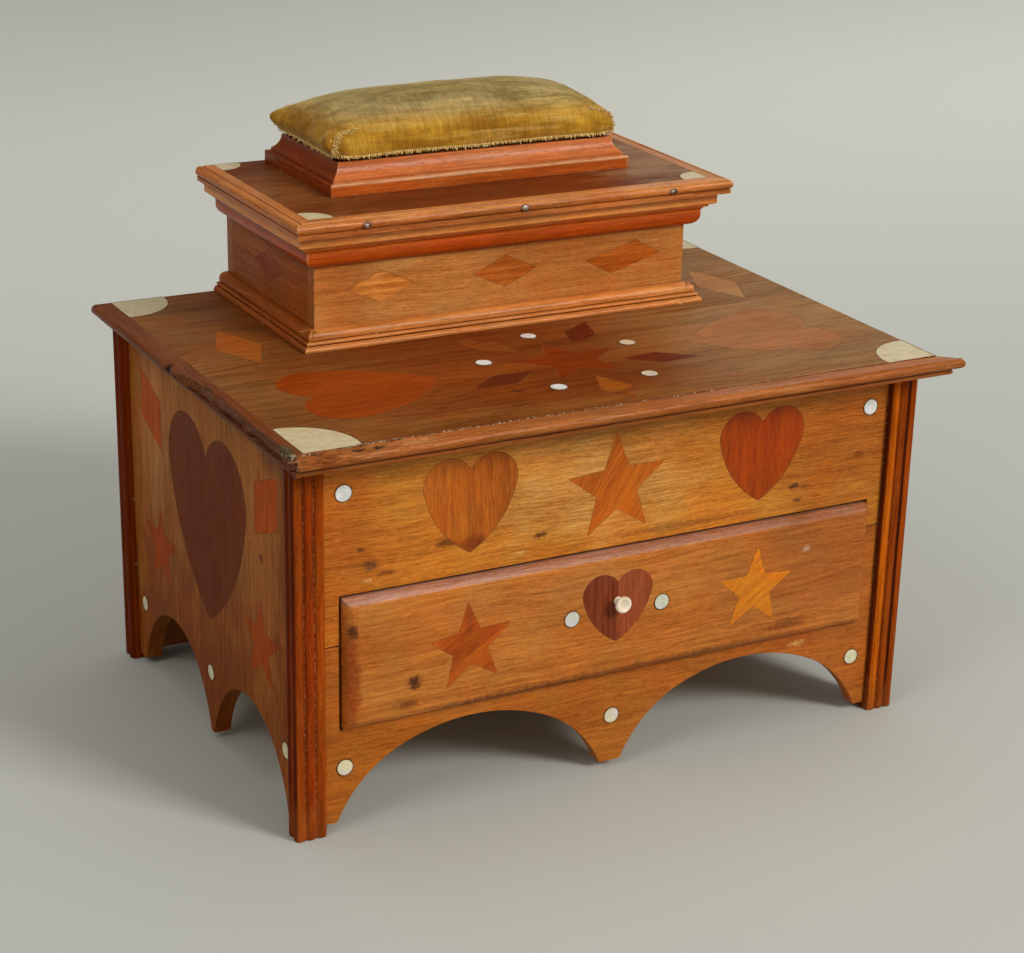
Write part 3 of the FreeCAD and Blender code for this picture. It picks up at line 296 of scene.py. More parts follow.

# %% [markdown]
# ## Wood
# Old shellacked wood is mostly quiet: soft swells of colour as long as a hand, finer streaks along the
# grain, and over them fibres and pores as fine as hairs. Rings show only where the saw cut them. All of
# it is noise, stretched along the grain, that moves one tone towards lighter and darker wood. The tone
# itself changes over a board: patches are where polish has worn or dirt has gathered, and a few bands,
# fades and patches are painted shade, painted highlights and painted reflections. Grime and painted
# shade darken the corners, wear sits on the edges, and ambient occlusion finds both.


# %% Wood
def wood(name, node, grain, tone, spread=1.0, turn=0.0, rings=0.0, gap=4.0, swell=1.0, streaks=1.0,
         fibres=1.0, flecks=0.3, grime_and_shade=0.75, wear=0.35, dust=0.0, gloss=0.42, shine=0.16, wave=1.0,
         fades=(), bands=(), patches=()):
    """The finish of one wooden node. Fades, bands and patches are places in mm with their own tone."""
    low, high, middle = box_of(node)
    size = high - low
    axes = [Vector(a) for a in ((1, 0, 0), (0, 1, 0), (0, 0, 1))]
    u = axes["xyz".index(grain)]
    w = axes[min((i for i in range(3) if axes[i] != u), key=lambda i: size[i])]
    v = w.cross(u)
    turned = Matrix.Rotation(math.radians(turn), 3, w)
    u, v = turned @ u, turned @ v
    spin = random.Random(f"{name}0").uniform(0, 40)
    f = Finish(name)
    run, wide, deep = f.along(u, middle), f.along(v, middle), f.along(w, middle)
    bend = f.noise(f.joined(run * 9 + spin, wide * 22, 0), 1.0, 2) - 0.5
    wide = wide + bend * (wave * 9 * MM)
    grain_place = f.joined(run + spin, wide, deep)

    def stretched(length, width, detail=2.0, rough=0.5):
        """Noise whose spots are length by width, in mm."""
        return f.noise(f.vector("MULTIPLY", grain_place, (1000 / length, 1000 / width, 1000 / width)),
                       1.0, detail, rough)

    fibre = stretched(13, 0.62, 3, 0.7)
    mottle = stretched(26, 12, 3, 0.6)
    grit = f.noise(f.place, 900, 2, 0.7)
    shade = 0.5 + spread * ((stretched(130, 20, 2) - 0.5) * (0.9 * swell)
                            + (stretched(70, 2.4, 4, 0.65) - 0.5) * (1.3 * streaks)
                            + (fibre - 0.5) * (1.9 * fibres) + (mottle - 0.5) * 0.45
                            + (grit - 0.5) * 0.6 + (stretched(3.5, 1.0, 1) - 0.5) * flecks)
    if rings:
        curve = (wide * wide + (deep + 0.02) * (deep + 0.02)) ** 0.5 + wide
        step = f.node("ShaderNodeMath", {"operation": "FRACT"},
                      {0: curve / (gap * MM) + stretched(60, 5, 2) * 0.5})
        shade = shade + (step.rise(0.1, 0.85) * step.rise(1.0, 0.88) - 0.4) * rings
    here = paint(*tone)
    for start, stop, fade_tone, share in fades:
        fade = (f.along((1, 0, 0)) + (mottle - 0.5) * 0.03).rise(start * MM, stop * MM)
        here = f.coats(here, (fade * share, fade_tone))
    torn = f.noise(f.place, 330, 3, 0.7)
    for axis, band_low, band_high, band_tone, share in bands:
        thin = band_high - band_low < 0.8
        cover = f.band(axis, band_low, band_high, 0.15 if thin else 0.4) * share
        here = f.coats(here, (cover * torn.rise(0.44, 0.56) if thin else cover, band_tone))
    for *place, patch_tone, share in patches:
        at, reach = place[:3], place[3:]
        ragged = torn if min(reach) < 5 else mottle
        here = f.coats(here, (f.patch(at, reach, ragged) * share, patch_tone))
    if not isinstance(here, Wire):
        here = f.mix(0.0, here, here)
    light = f.vector("MULTIPLY", here, (1.26, 1.32, 1.5))
    dark = f.vector("MULTIPLY", here, (0.66, 0.56, 0.42))
    colour = f.mix(shade.limit(), light, dark)
    hue = f.noise(f.place, 34, 3, 0.6).rise(0.36, 0.64)
    colour = f.vector("MULTIPLY", colour, f.mix(hue, (1.05, 0.96, 0.86, 1), (0.96, 1.03, 1.1, 1)))
    pore = stretched(5, 0.45, 1).rise(0.62, 0.72)
    colour = f.mix(pore * 0.4, colour, f.dim(dark, 0.6))
    corner = f.crevice(3.2 * MM).rise(0.3, 0.85)
    edge = f.crevice(1.1 * MM, inside=True).rise(0.25, 0.7)
    rub = f.noise(f.place, 75, 3).rise(0.4, 0.62)
    colour = f.mix(edge * rub * wear, colour, f.mix(0.5, light, paint(226, 180, 122)))
    # Corners and grooves darken here: grime and painted shade, found by ambient occlusion.
    colour = f.mix(corner * grime_and_shade, colour, f.dim(dark, 0.28))
    if dust:
        crumbs = f.noise(f.place, 520, 1).rise(0.68, 0.73) * f.noise(f.place, 60, 1).rise(0.45, 0.6)
        groove = f.crevice(2.2 * MM).rise(0.12, 0.4)
        colour = f.coats(colour, (crumbs * groove * dust, (214, 190, 160)))
    height = fibre * 0.4 - pore * 0.5 + mottle * 0.6
    roughness = gloss + (mottle - 0.5) * 0.2 + pore * 0.12 + corner * 0.25
    return f.shade(colour, roughness.limit(), f.bump(height, 0.14 * MM, 0.5),
                   IOR=1.48, Specular_IOR_Level=shine)


print("wood is ready")

# %% [markdown]
# ## Which wood is where
# The front boards are a golden wood, the drawer a browner one, the sides and the lid brown, and the posts
# and mouldings a dark red wood. The inlays are cut from scraps of all of these, some from two pieces.
# Each entry gives the grain's direction and the tone, then what is special. A fade goes from one x to
# another, a band lies between two levels of an axis, and a patch is given by its middle and how far it
# reaches along x, y and z. All are in mm, and each ends with its own tone and a share from 0 to 1.

# %% Woods of the case
BARE = dict(gloss=0.6, wear=0.1, grime_and_shade=0.5)
OLD_BROWN, DARK_SPOT = (120, 62, 22), (86, 42, 18)
WOODS = {
    "front_upper_board": ("x", (194, 119, 36), dict(fibres=1.5, flecks=0.9, streaks=0.8, patches=[
        (-10, -109, 160, 78, 20, 36, (206, 144, 69), 0.75),
        (143, -109, 149.3, 4.5, 6, 3, (104, 40, 14), 0.8),
        (110, -109, 137, 5, 6, 2, OLD_BROWN, 0.7), (-136, -109, 128.4, 4, 6, 1.2, (224, 176, 110), 0.8),
        (-55, -109, 128.5, 4, 6, 1.2, (222, 172, 100), 0.7),
        # This darker patch over the right end is partly the wood's tone and partly painted shade, where the
        # lamp's light is weaker.
        (140, -109, 160, 75, 20, 60, (162, 84, 20), 0.75),
        (-150, -109, 150, 30, 20, 60, (176, 86, 18), 0.6),
        (-44, -109, 136, 4.5, 6, 2, DARK_SPOT, 0.9), (-95, -109, 140.5, 9, 6, 2.6, OLD_BROWN, 0.9),
        (-134.6, -109, 136, 5, 6, 3.4, (100, 62, 36), 0.8), (-126, -109, 131, 8, 6, 1.8, OLD_BROWN, 0.8),
        (103.5, -109, 138, 4, 6, 2, DARK_SPOT, 0.9), (106, -109, 130, 4, 6, 1.6, DARK_SPOT, 0.8),
        (-139, -109, 144.6, 3, 6, 2, DARK_SPOT, 0.7), (40, -109, 128, 60, 6, 2.5, OLD_BROWN, 0.5)])),
    "front_apron_board": ("x", (174, 98, 30), dict(flecks=0.8, fibres=1.3, streaks=0.8, patches=[
        (-130, -109, 40, 60, 20, 60, (172, 94, 20), 0.6), (130, -109, 50, 50, 20, 60, (174, 92, 32), 0.6),
        (-22, -109, 58, 40, 8, 3, OLD_BROWN, 0.5), (112, -109, 48, 6, 6, 2, (214, 160, 90), 0.8),
        (-137, -109, 66, 6, 6, 10, OLD_BROWN, 0.6)])),
    "left_side_panel": ("z", (162, 98, 40), dict(shine=0.04, streaks=1.6, flecks=0.5, patches=[
        (-170, 20, 10, 20, 220, 120, (126, 58, 10), 0.85), (-170, 85, 150, 20, 20, 60, (186, 122, 66), 0.75),
        (-170, -80, 186, 20, 30, 14, (112, 66, 36), 0.7), (-170, -62, 128, 9, 3, 3, DARK_SPOT, 0.9),
        (-170, 60, 88, 9, 3, 3, DARK_SPOT, 0.8), (-170, -95, 110, 20, 20, 100, (122, 54, 8), 0.8)])),
    "right_side_panel": ("z", (160, 88, 32), dict(shine=0.06, streaks=1.5)),
    "back_panel upper_back_wall": ("x", (150, 84, 34), {}),
    "bottom_board well_floor": ("x", (190, 146, 96), BARE),
    "drawer_guides": ("y", (178, 134, 88), BARE),
    "drawer_front": ("x", (188, 112, 42), dict(wave=1.6, streaks=1.3, flecks=0.6, bands=[
        # The pale band along the top lip is dust and a painted highlight on its rounded edge.
        ("z", 119.2, 124, (176, 128, 106), 0.85), ("x", 147.8, 150, (104, 46, 14), 0.8)], patches=[
        # The first patch here, darker over the right end, is partly the wood's tone and partly painted shade,
        # where the lamp's light is weaker.
        (130, -115, 90, 90, 20, 60, (160, 88, 34), 0.8), (110, -115, 104.5, 3, 8, 2, (206, 170, 140), 0.6),
        (-146, -115, 84, 5, 20, 36, (150, 66, 14), 0.85), (-146, -115, 106, 3, 20, 6, (66, 32, 16), 0.8),
        (20, -115, 57.5, 150, 20, 3.2, OLD_BROWN, 0.7),
        (-114, -115, 74, 5, 8, 4.5, DARK_SPOT, 1.0), (-118, -115, 63, 9, 8, 3, OLD_BROWN, 0.8),
        (100, -115, 64, 14, 8, 4, OLD_BROWN, 0.7), (-30, -115, 108, 90, 20, 10, (184, 112, 52), 0.6),
        (-60, -115, 56.5, 60, 20, 2, DARK_SPOT, 0.6)])),
    "drawer_left_side drawer_right_side": ("y", (200, 158, 108), BARE),
    "drawer_back": ("x", (200, 158, 108), BARE),
    "drawer_bottom": ("x", (196, 152, 100), BARE),
}
# Bands give each reed of the posts its tone. The dark bands in the grooves and on the faces turned away from
# the key lamp are painted shade.
REED_TONES_AND_SHADE = {
    "post_front_left": [
        ("x", -175.5, -170, (148, 66, 16), 1.0), ("x", -169.6, -164.4, (144, 57, 11), 1.0),
        ("x", -164.2, -158.5, (156, 70, 14), 1.0),
        # Painted shade in the two grooves.
        ("x", -170.4, -169.0, (98, 38, 10), 0.7), ("x", -165.0, -163.6, (98, 38, 10), 0.7),
        ("x", -170.0, -169.4, (190, 112, 62), 0.4), ("x", -164.6, -164.0, (198, 126, 76), 0.45),
        # Painted shade on the post's left side.
        ("x", -176, -174.3, (94, 30, 1), 1.0)],
    "post_front_right": [
        ("x", 159.6, 164.9, (186, 92, 13), 1.0), ("x", 164.9, 169.2, (140, 61, 9), 1.0),
        # Painted shade in the grooves: this band and the first one on the next line.
        ("x", 163.9, 165.1, (110, 46, 9), 0.8),
        ("x", 168.9, 170.7, (72, 26, 6), 1.0), ("x", 170.9, 175.5, (152, 66, 11), 1.0),
        # Painted shade on the left edge of the post, which stands proud of the front.
        ("x", 158.5, 159.5, (104, 44, 12), 0.9)],
    # Painted shade on the back post's left side.
    "post_back_left": [("x", -176, -173, (104, 36, 3), 1.0)],
    "post_back_right": []}
for part, reed_tones_and_shade in REED_TONES_AND_SHADE.items():
    foot = [(side * 167, -107, 4, 30, 30, 22, (146, 74, 28), 0.6) for side in (-1, 1)]
    WOODS[part] = ("z", (134, 56, 9), dict(streaks=1.8, dust=0.9, grime_and_shade=1.0, gloss=0.38, shine=0.03, wear=0.45,
                                           bands=reed_tones_and_shade, patches=foot))

# %% Woods of the lids and the mouldings
WOODS |= {
    "lid_board": ("x", (119, 56, 14), dict(
        shine=0.06, streaks=1.7, wave=2.4, swell=1.4, flecks=0.5, rings=0.3, gap=6, fades=[
            # The second fade, paler and greyer over the right of the lid, is a painted reflection in the
            # polish.
            (-60, -170, (132, 84, 40), 0.85), (0, 110, (152, 108, 58), 0.9)], patches=[
        (-30, -118, 203, 170, 16, 20, (140, 86, 32), 0.6), (-60, -70, 203, 60, 30, 20, (140, 68, 14), 0.6),
        (-46, -87, 203, 5, 3, 6, DARK_SPOT, 0.9), (-55, -106, 203, 7, 2, 6, DARK_SPOT, 0.7),
        (-91, -95, 203, 5, 2, 6, DARK_SPOT, 0.7)])),
    "upper_lid_board": ("x", (111, 48, 6), dict(shine=0.07, streaks=1.5, patches=[
        # The first patch, paler over the right of the upper lid, is a painted reflection in the polish.
        (105, 60, 272, 50, 90, 20, (146, 108, 72), 0.8), (-100, 60, 272, 44, 80, 20, (132, 80, 40), 0.8),
        (-60, 22, 272, 90, 14, 20, (104, 46, 13), 0.7)])),
    "upper_front_wall": ("x", (197, 131, 64), dict(flecks=0.6, patches=[
        (50, 15, 232, 70, 20, 30, (184, 108, 44), 0.8), (-90, 15, 235, 24, 20, 40, (172, 88, 26), 0.5)],
        bands=[("x", -120, -107.9, (142, 74, 26), 1.0)])),
    "upper_left_wall": ("y", (154, 82, 31), dict(shine=0.05, streaks=1.4)),
    "upper_right_wall": ("y", (150, 84, 34), {}),
    "plinth_block": ("x", (150, 70, 26), {}),
}
EDGE = dict(dust=0.7, grime_and_shade=0.95, wear=0.5, streaks=1.5, gloss=0.34, shine=0.2)
TOP_BANDS = [("z", 270.4, 273, (190, 116, 54), 1.0), ("z", 266.9, 270.4, (184, 106, 44), 1.0)]
CORNICE_BANDS = [("z", 256.5, 265, (229, 146, 69), 1.0), ("z", 240, 252.6, (186, 77, 14), 1.0)]
# The thin pale band from 277.2 to 278.6 mm is a painted highlight along the plinth's bead.
PLINTH_BANDS = [("z", 278, 290, (190, 104, 50), 1.0), ("z", 277.2, 278.6, (206, 150, 104), 0.9)]
for part, tone, extra in (
        ("lid_front_moulding", (150, 82, 27), dict(spread=1.25, shine=0.12, bands=[
            ("z", 199.5, 204, (164, 96, 42), 0.8)], patches=[
            (-171, -127.5, 203, 8, 2.5, 3, (60, 36, 18), 0.9),
            # The two near-black patches are painted shade inside the holes.
            (-150, -129.5, 202, 4.5, 2.4, 5, (26, 14, 8), 1.0),
            (-140, -129.5, 202, 4, 2.2, 5, (26, 14, 8), 1.0),
            (-120, -131, 201, 18, 5, 4, (196, 140, 92), 0.7), (-165, -131, 201, 9, 6, 4, (120, 60, 24), 0.7)])),
        ("lid_left_moulding", (114, 62, 31), dict(shine=0.07, wear=0.15, patches=[
            # The second patch, near black, is painted shade inside the hole.
            (-184.5, -62, 198.5, 6, 86, 7, (84, 44, 20), 0.9), (-183, 19, 199.5, 4, 5, 4, (40, 22, 12), 1.0),
            (-181, -118, 202, 5, 10, 5, (84, 76, 50), 0.9), (-184, -30, 199, 4, 9, 2.5, (176, 130, 84), 0.8)])),
        ("base_front_moulding", (209, 129, 60), {}),
        ("base_end_mouldings", (160, 82, 26), dict(shine=0.1)),
        ("cornice_front_moulding", (208, 102, 32), dict(bands=CORNICE_BANDS)),
        ("cornice_end_mouldings", (160, 70, 20), dict(bands=CORNICE_BANDS)),
        ("upper_lid_front_moulding", (184, 104, 44), dict(spread=1.4, bands=TOP_BANDS, patches=[
            # A dark patch round each nail head is painted shade of the dent it sits in.
            (x, -5, 269, 3.4, 5, 2.2, (70, 36, 18), 1.0) for x in (-88, 0, 88)])),
        ("upper_lid_end_mouldings", (174, 96, 42), dict(bands=TOP_BANDS)),
        ("plinth_long_mouldings", (184, 88, 24), dict(bands=PLINTH_BANDS)),
        ("plinth_end_mouldings", (138, 58, 14), dict(shine=0.12))):
    WOODS[part] = ("y" if "end" in part or "left" in part else "x", tone, {**EDGE, **extra})

# %% Woods of the inlays
WOODS |= {
    "front_heart_inlays": ("z", (184, 95, 21), dict(rings=0.5, gap=1.9, fibres=1.4, bands=[
        ("x", 0, 200, (160, 61, 0), 1.0)], patches=[(-83, -109, 137, 14, 8, 6, (120, 44, 10), 0.7)])),
    "front_star_inlay": ("x", (194, 98, 17), dict(turn=-58, rings=0.25, gap=1.6)),
    "side_heart_inlays": ("z", (110, 48, 12), dict(shine=0.04, streaks=0.7)),
    "side_star_inlays": ("z", (158, 65, 6), dict(shine=0.04, streaks=1.4)),
    "side_lozenge_inlays": ("z", (180, 78, 12), dict(shine=0.04, streaks=1.2)),
    "drawer_heart_inlay": ("z", (126, 54, 23), dict(streaks=1.6, rings=0.4, gap=2.4, bands=[
        ("x", -2.5, 40, (146, 68, 34), 1.0)])),
    "drawer_star_inlays": ("x", (176, 80, 13), dict(turn=-35, rings=0.3, gap=2.5, bands=[
        ("x", 0, 200, (212, 121, 23), 1.0)], patches=[
        (-104, -115, 91, 9, 8, 7, (200, 104, 26), 1.0), (-85, -115, 101, 3, 8, 12, (146, 66, 22), 0.7)])),
    # The band makes the right heart paler: a painted reflection in the polish, as on the lid round it.
    "lid_heart_inlays": ("x", (144, 60, 8), dict(shine=0.07, bands=[("x", 0, 200, (158, 100, 50), 1.0)])),
    "lid_star_inlay": ("x", (122, 44, 3), dict(shine=0.07)),
    "lid_rhombus_inlays": ("x", (100, 36, 10), dict(shine=0.07, bands=[
        ("x", -175, -100, (160, 86, 28), 1.0), ("x", 100, 175, (178, 122, 64), 1.0)], patches=[
        (-3, -97, 203, 30, 26, 9, (152, 80, 16), 1.0), (-27, -18, 203, 24, 24, 9, (132, 66, 18), 1.0),
        (42, -42, 203, 26, 22, 9, (132, 64, 20), 1.0)])),
    "upper_diamond_inlays": ("x", (184, 94, 30), dict(shine=0.06, streaks=1.6, rings=0.3, gap=2.0, bands=[
        ("x", -120, -107.7, (142, 62, 22), 1.0)], patches=[
        (-69, 15, 229, 30, 8, 20, (216, 138, 62), 1.0), (72, 15, 231, 24, 8, 20, (190, 96, 28), 0.8)])),
}


def wear_finish(node, material):
    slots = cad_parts[node].data.materials
    slots.clear()
    slots.append(material)


for nodes, (grain, tone, changes) in WOODS.items():
    for node in nodes.split():
        wear_finish(node, wood(node.replace("_", " "), node, grain, tone, **changes))
print(len(WOODS), "kinds of wood")

# %% [markdown]
# ## Bone, pearl, brass and iron
# The small discs are mother of pearl: pale, with faint green and pink clouds, and darker at the rim with
# dirt and painted shade. No two are alike, and here their place tells them apart: those near the floor and
# on the right of the lid are yellower. The corner pieces and the knob are bone, cream with fine streaks
# and a rim darkened by dirt and painted shade. Hinges are dull brass, and nails are iron.


# %% Bone, pearl and metals
def pearl():
    f = Finish("mother of pearl")
    cloud = f.noise(f.place, 260, 3, 0.6)
    hue = f.noise(f.place, 110, 2)
    level, east = f.along((0, 0, 1)), f.along((1, 0, 0))
    colour = f.coats(paint(240, 240, 238), (level.rise(0.08, 0.07), (226, 216, 174)),
                     (level.rise(0.08, 0.085) * level.rise(0.12, 0.11), (206, 210, 186)),
                     (level.rise(0.2, 0.202) * east.rise(0.01, 0.02) * 0.7, (206, 176, 116)),
                     (cloud.rise(0.35, 0.65) * 0.4, (172, 176, 156)),
                     (hue.rise(0.5, 0.65) * 0.6, (214, 200, 208)),
                     # Darker where the disc meets the wood round it: dirt and painted shade.
                     (f.crevice(1.0 * MM).rise(0.3, 0.9) * 0.6, (80, 50, 26)))
    return f.shade(colour, 0.22 + cloud * 0.15, f.bump(cloud, 0.1 * MM, 0.5), IOR=1.53)


def bone(name, tone):
    f = Finish(name)
    line = f.streaked((260, 260, 1400), 3)
    cloud = f.noise(f.place, 120, 3)
    colour = f.mix(line.rise(0.3, 0.75), paint(*tone), f.dim(paint(*tone), 0.84))
    # The second coat darkens the rim where the bone meets the wood: dirt and painted shade.
    colour = f.coats(colour, (cloud.rise(0.5, 0.75) * 0.6, (190, 160, 108)),
                     (f.crevice(1.3 * MM).rise(0.3, 0.9) * 0.7, (92, 60, 30)))
    return f.shade(colour, 0.35 + cloud * 0.15, f.bump(line, 0.05 * MM, 0.4), IOR=1.5,
                   Specular_IOR_Level=0.4)


def metal(name, bright, dull, rust):
    f = Finish(name)
    cloud = f.noise(f.place, 300, 4, 0.6)
    spot = f.noise(f.place, 900, 2).rise(0.5, 0.7)
    dirt = (cloud.rise(0.4, 0.7) * rust).limit()
    colour = f.mix(dirt, bright, dull)
    return f.shade(colour, 0.35 + cloud * 0.3, f.bump(spot, 0.05 * MM, 0.4), metallic=0.9 - dirt * 0.7)


BRASS = metal("dull brass", paint(186, 148, 84), paint(96, 70, 36), 0.4)
IRON = metal("iron", paint(186, 172, 156), paint(44, 28, 18), 1.0)
SMALL = (
    (pearl(), ("case_pearls", "drawer_pearls", "lid_pearls")),
    (bone("bone", (208, 190, 150)), ("lid_bone_corners", "upper_lid_bone_corners")),
    (bone("turned bone", (252, 236, 212)), ("drawer_knob",)),
    (BRASS, ("lid_hinge_case_leaves", "lid_hinge_pins", "lid_hinge_lid_leaves",
             "upper_hinge_wall_leaves", "upper_hinge_pins", "upper_hinge_lid_leaves")),
    (IRON, ("upper_lid_nails",)))
for material, nodes in SMALL:
    for node in nodes:
        wear_finish(node, material)
print("small finishes:", [material.name for material, _ in SMALL])

# %% [markdown]
# ## Handled edges
# Nothing on an old box is sharp: the edges of boards and mouldings are rubbed round, and a rounded edge
# catches a thin line of light. The frame's meshes stay as they are, so modifiers do it: Weld joins the
# loose triangles, a planar Decimate makes whole faces of them, Bevel rounds what is sharp, and Weighted
# Normal keeps the flat faces flat.


# %% Rounded edges
def soften(node, width, rounds):
    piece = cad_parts[node]
    for face in piece.data.polygons:
        face.use_smooth = True
    weld = piece.modifiers.new("weld", "WELD")
    weld.merge_threshold = 0.002 * MM
    flats = piece.modifiers.new("flats", "DECIMATE")
    flats.decimate_type, flats.angle_limit = "DISSOLVE", math.radians(0.5)
    bevel = piece.modifiers.new("bevel", "BEVEL")
    bevel.width, bevel.segments = width * MM, rounds
    bevel.limit_method, bevel.angle_limit = "ANGLE", math.radians(34)
    bevel.use_clamp_overlap = True
    piece.modifiers.new("normals", "WEIGHTED_NORMAL")


ROUNDING = {
    0.2: "upper_lid_bone_corners", 0.22: "base_front_moulding base_end_mouldings",
    0.25: "upper_front_wall upper_left_wall upper_right_wall cornice_front_moulding cornice_end_mouldings "
          "upper_lid_front_moulding upper_lid_end_mouldings",
    0.3: "lid_board upper_lid_board plinth_long_mouldings plinth_end_mouldings lid_bone_corners",
    0.35: "front_upper_board front_apron_board left_side_panel right_side_panel",
    0.4: "drawer_left_side drawer_right_side drawer_back",
    0.45: "post_front_left post_front_right post_back_left post_back_right",
    0.5: "back_panel drawer_front lid_pearls", 0.6: "case_pearls drawer_pearls"}
for width, nodes in ROUNDING.items():
    for node in nodes.split():
        soften(node, width, 3 if "pearl" in node else 2)
print("rounded:", {width: len(nodes.split()) for width, nodes in ROUNDING.items()})

# %% [markdown]
# ## Trees that repeat a shape
# Glue lines, crumbs, screws and threads all repeat a small shape along a path or at points.
# Each kind is one Geometry Nodes tree with named inputs. The result is turned into a plain mesh at once,
# because the model that leaves Blender knows no modifiers of that kind.


# %% Growing along paths
def bake_modifiers(piece):
    """The piece's mesh becomes what its modifiers make of it."""
    ready = bpy.data.meshes.new_from_object(piece.evaluated_get(bpy.context.evaluated_depsgraph_get()))
    piece.modifiers.clear()
    piece.data = ready
    return piece


def new_piece(name, points, edges=(), faces=()):
    mesh = bpy.data.meshes.new(name)
    mesh.from_pydata([tuple(p) for p in points], edges, faces)
    piece = bpy.data.objects.new(name, mesh)
    scene.collection.objects.link(piece)
    return piece


class Growth(Graph):
    """A Geometry Nodes tree with named inputs, which ends in plain geometry with a material."""

    def __init__(self, name, **inputs):
        super().__init__(bpy.data.node_groups.new(name, "GeometryNodeTree"))
        self.keys = {}
        face = self.tree.interface
        face.new_socket("Geometry", in_out="INPUT", socket_type="NodeSocketGeometry")
        face.new_socket("Geometry", in_out="OUTPUT", socket_type="NodeSocketGeometry")
        for label, value in inputs.items():
            kind = "NodeSocketInt" if isinstance(value, int) else "NodeSocketFloat"
            socket = face.new_socket(label, in_out="INPUT", socket_type=kind)
            socket.default_value = value
            self.keys[label] = socket.identifier
        entry = self.tree.nodes.new("NodeGroupInput")
        self.given = {out.name: Wire(self, out) for out in entry.outputs if out.name}

    def at_points(self, shape, rotation, scale=None):
        """A copy of the shape at each point of the mesh that the tree is given."""
        return self.node("GeometryNodeInstanceOnPoints", {}, {
            "Points": self.node("GeometryNodeMeshToPoints", {}, {"Mesh": self.given["Geometry"]}),
            "Instance": shape, "Rotation": rotation, "Scale": scale})

    def end(self, shape, material=None):
        shape = self.node("GeometryNodeRealizeInstances", {}, {"Geometry": shape})
        if material:
            shape = self.node("GeometryNodeSetMaterial", {}, {"Geometry": shape, "Material": material})
        exit_node = self.tree.nodes.new("NodeGroupOutput")
        self.tree.links.new(shape.socket, exit_node.inputs[0])
        return self

    def grow(self, name, body, slot, points, edges=(), ways=(), **values):
        """A piece that grows on these points. Their ways, if given, are the attribute away."""
        piece = new_piece(name, points, edges)
        if ways:
            away = piece.data.attributes.new("away", "FLOAT_VECTOR", "POINT")
            for item, way in zip(away.data, ways):
                item.vector = way
        growth = piece.modifiers.new("growth", "NODES")
        growth.node_group = self.tree
        for label, value in values.items():
            growth[self.keys[label]] = value
        bake_modifiers(piece)
        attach(piece, body)
        print(name, "at", len(points), "points:", len(piece.data.polygons), "faces")

    def chance(self, low, high, seed):
        """A random number for each point, or a random vector where low and high are vectors."""
        first, kind = (0, "FLOAT_VECTOR") if isinstance(low, tuple) else (2, "FLOAT")
        return self.node("FunctionNodeRandomValue", {"data_type": kind},
                         {"Seed": seed, first: low, first + 1: high}, out=first // 2)


# %% Glue lines round the inlays
def plain_dirt(name, tone, second, scale=700):
    f = Finish(name)
    cloud = f.noise(f.place, scale, 3)
    colour = f.coats(paint(*tone), (cloud.rise(0.35, 0.65), second))
    return f.shade(colour, 0.75, f.bump(cloud, 0.1 * MM, 0.6), Specular_IOR_Level=0.2)


def line_tree(name, material):
    g = Growth(name, Radius=0.0002, Wobble=0.0001)
    path = g.node("GeometryNodeMeshToCurve", {}, {"Mesh": g.given["Geometry"]})
    path = g.node("GeometryNodeResampleCurve", {"mode": "LENGTH"}, {"Curve": path, "Length": 0.0012})
    where = g.node("GeometryNodeInputPosition")
    shake = g.node("ShaderNodeTexNoise", {}, {"Vector": where, "Scale": 400.0}, out=1)
    shake = g.scaled(g.vector("SUBTRACT", shake, (0.5, 0.5, 0.5)), g.given["Wobble"])
    path = g.node("GeometryNodeSetPosition", {}, {"Geometry": path, "Offset": shake})
    ring = g.node("GeometryNodeCurvePrimitiveCircle", {}, {"Resolution": 5, "Radius": g.given["Radius"]})
    return g.end(g.node("GeometryNodeCurveToMesh", {}, {"Curve": path, "Profile Curve": ring}), material)


GLUE = plain_dirt("dark glue", (70, 30, 10), (110, 54, 20))
RIM = plain_dirt("dirt round pearl", (88, 52, 24), (140, 96, 50))
glue_line = line_tree("glue line", GLUE)
rim_line = line_tree("pearl rim", RIM)


@contextmanager
def edited(piece):
    """The piece's mesh as a bmesh, which is written back at the end."""
    work = bmesh.new()
    work.from_mesh(piece.data)
    yield work
    work.to_mesh(piece.data)
    work.free()


def merged_copy(node, name):
    """A copy of a node's mesh with its loose triangles joined."""
    piece = new_piece(name, ())
    piece.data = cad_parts[node].data.copy()
    with edited(piece) as work:
        bmesh.ops.remove_doubles(work, verts=work.verts, dist=0.002 * MM)
        bmesh.ops.dissolve_limit(work, angle_limit=math.radians(0.5), verts=work.verts, edges=work.edges)
    return piece


def outlines(node, faces_to):
    """Points and edges of the outline of a node's outer faces, sunk a little under them."""
    copy = merged_copy(node, "outline")
    low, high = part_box(node)
    points, edges = [], []
    for face in copy.data.polygons:
        for axis in faces_to:
            k = max(range(3), key=lambda i: abs(axis[i]))
            outer = (high if axis[k] > 0 else low)[k]
            if face.normal[k] * axis[k] > 0.99 and abs(face.center[k] - outer) < 0.05 * MM:
                first, count = len(points), len(face.vertices)
                points += [copy.data.vertices[v].co - Vector(axis) * 0.1 * MM for v in face.vertices]
                edges += [(first + i, first + (i + 1) % count) for i in range(count)]
    bpy.data.objects.remove(copy)
    return points, edges


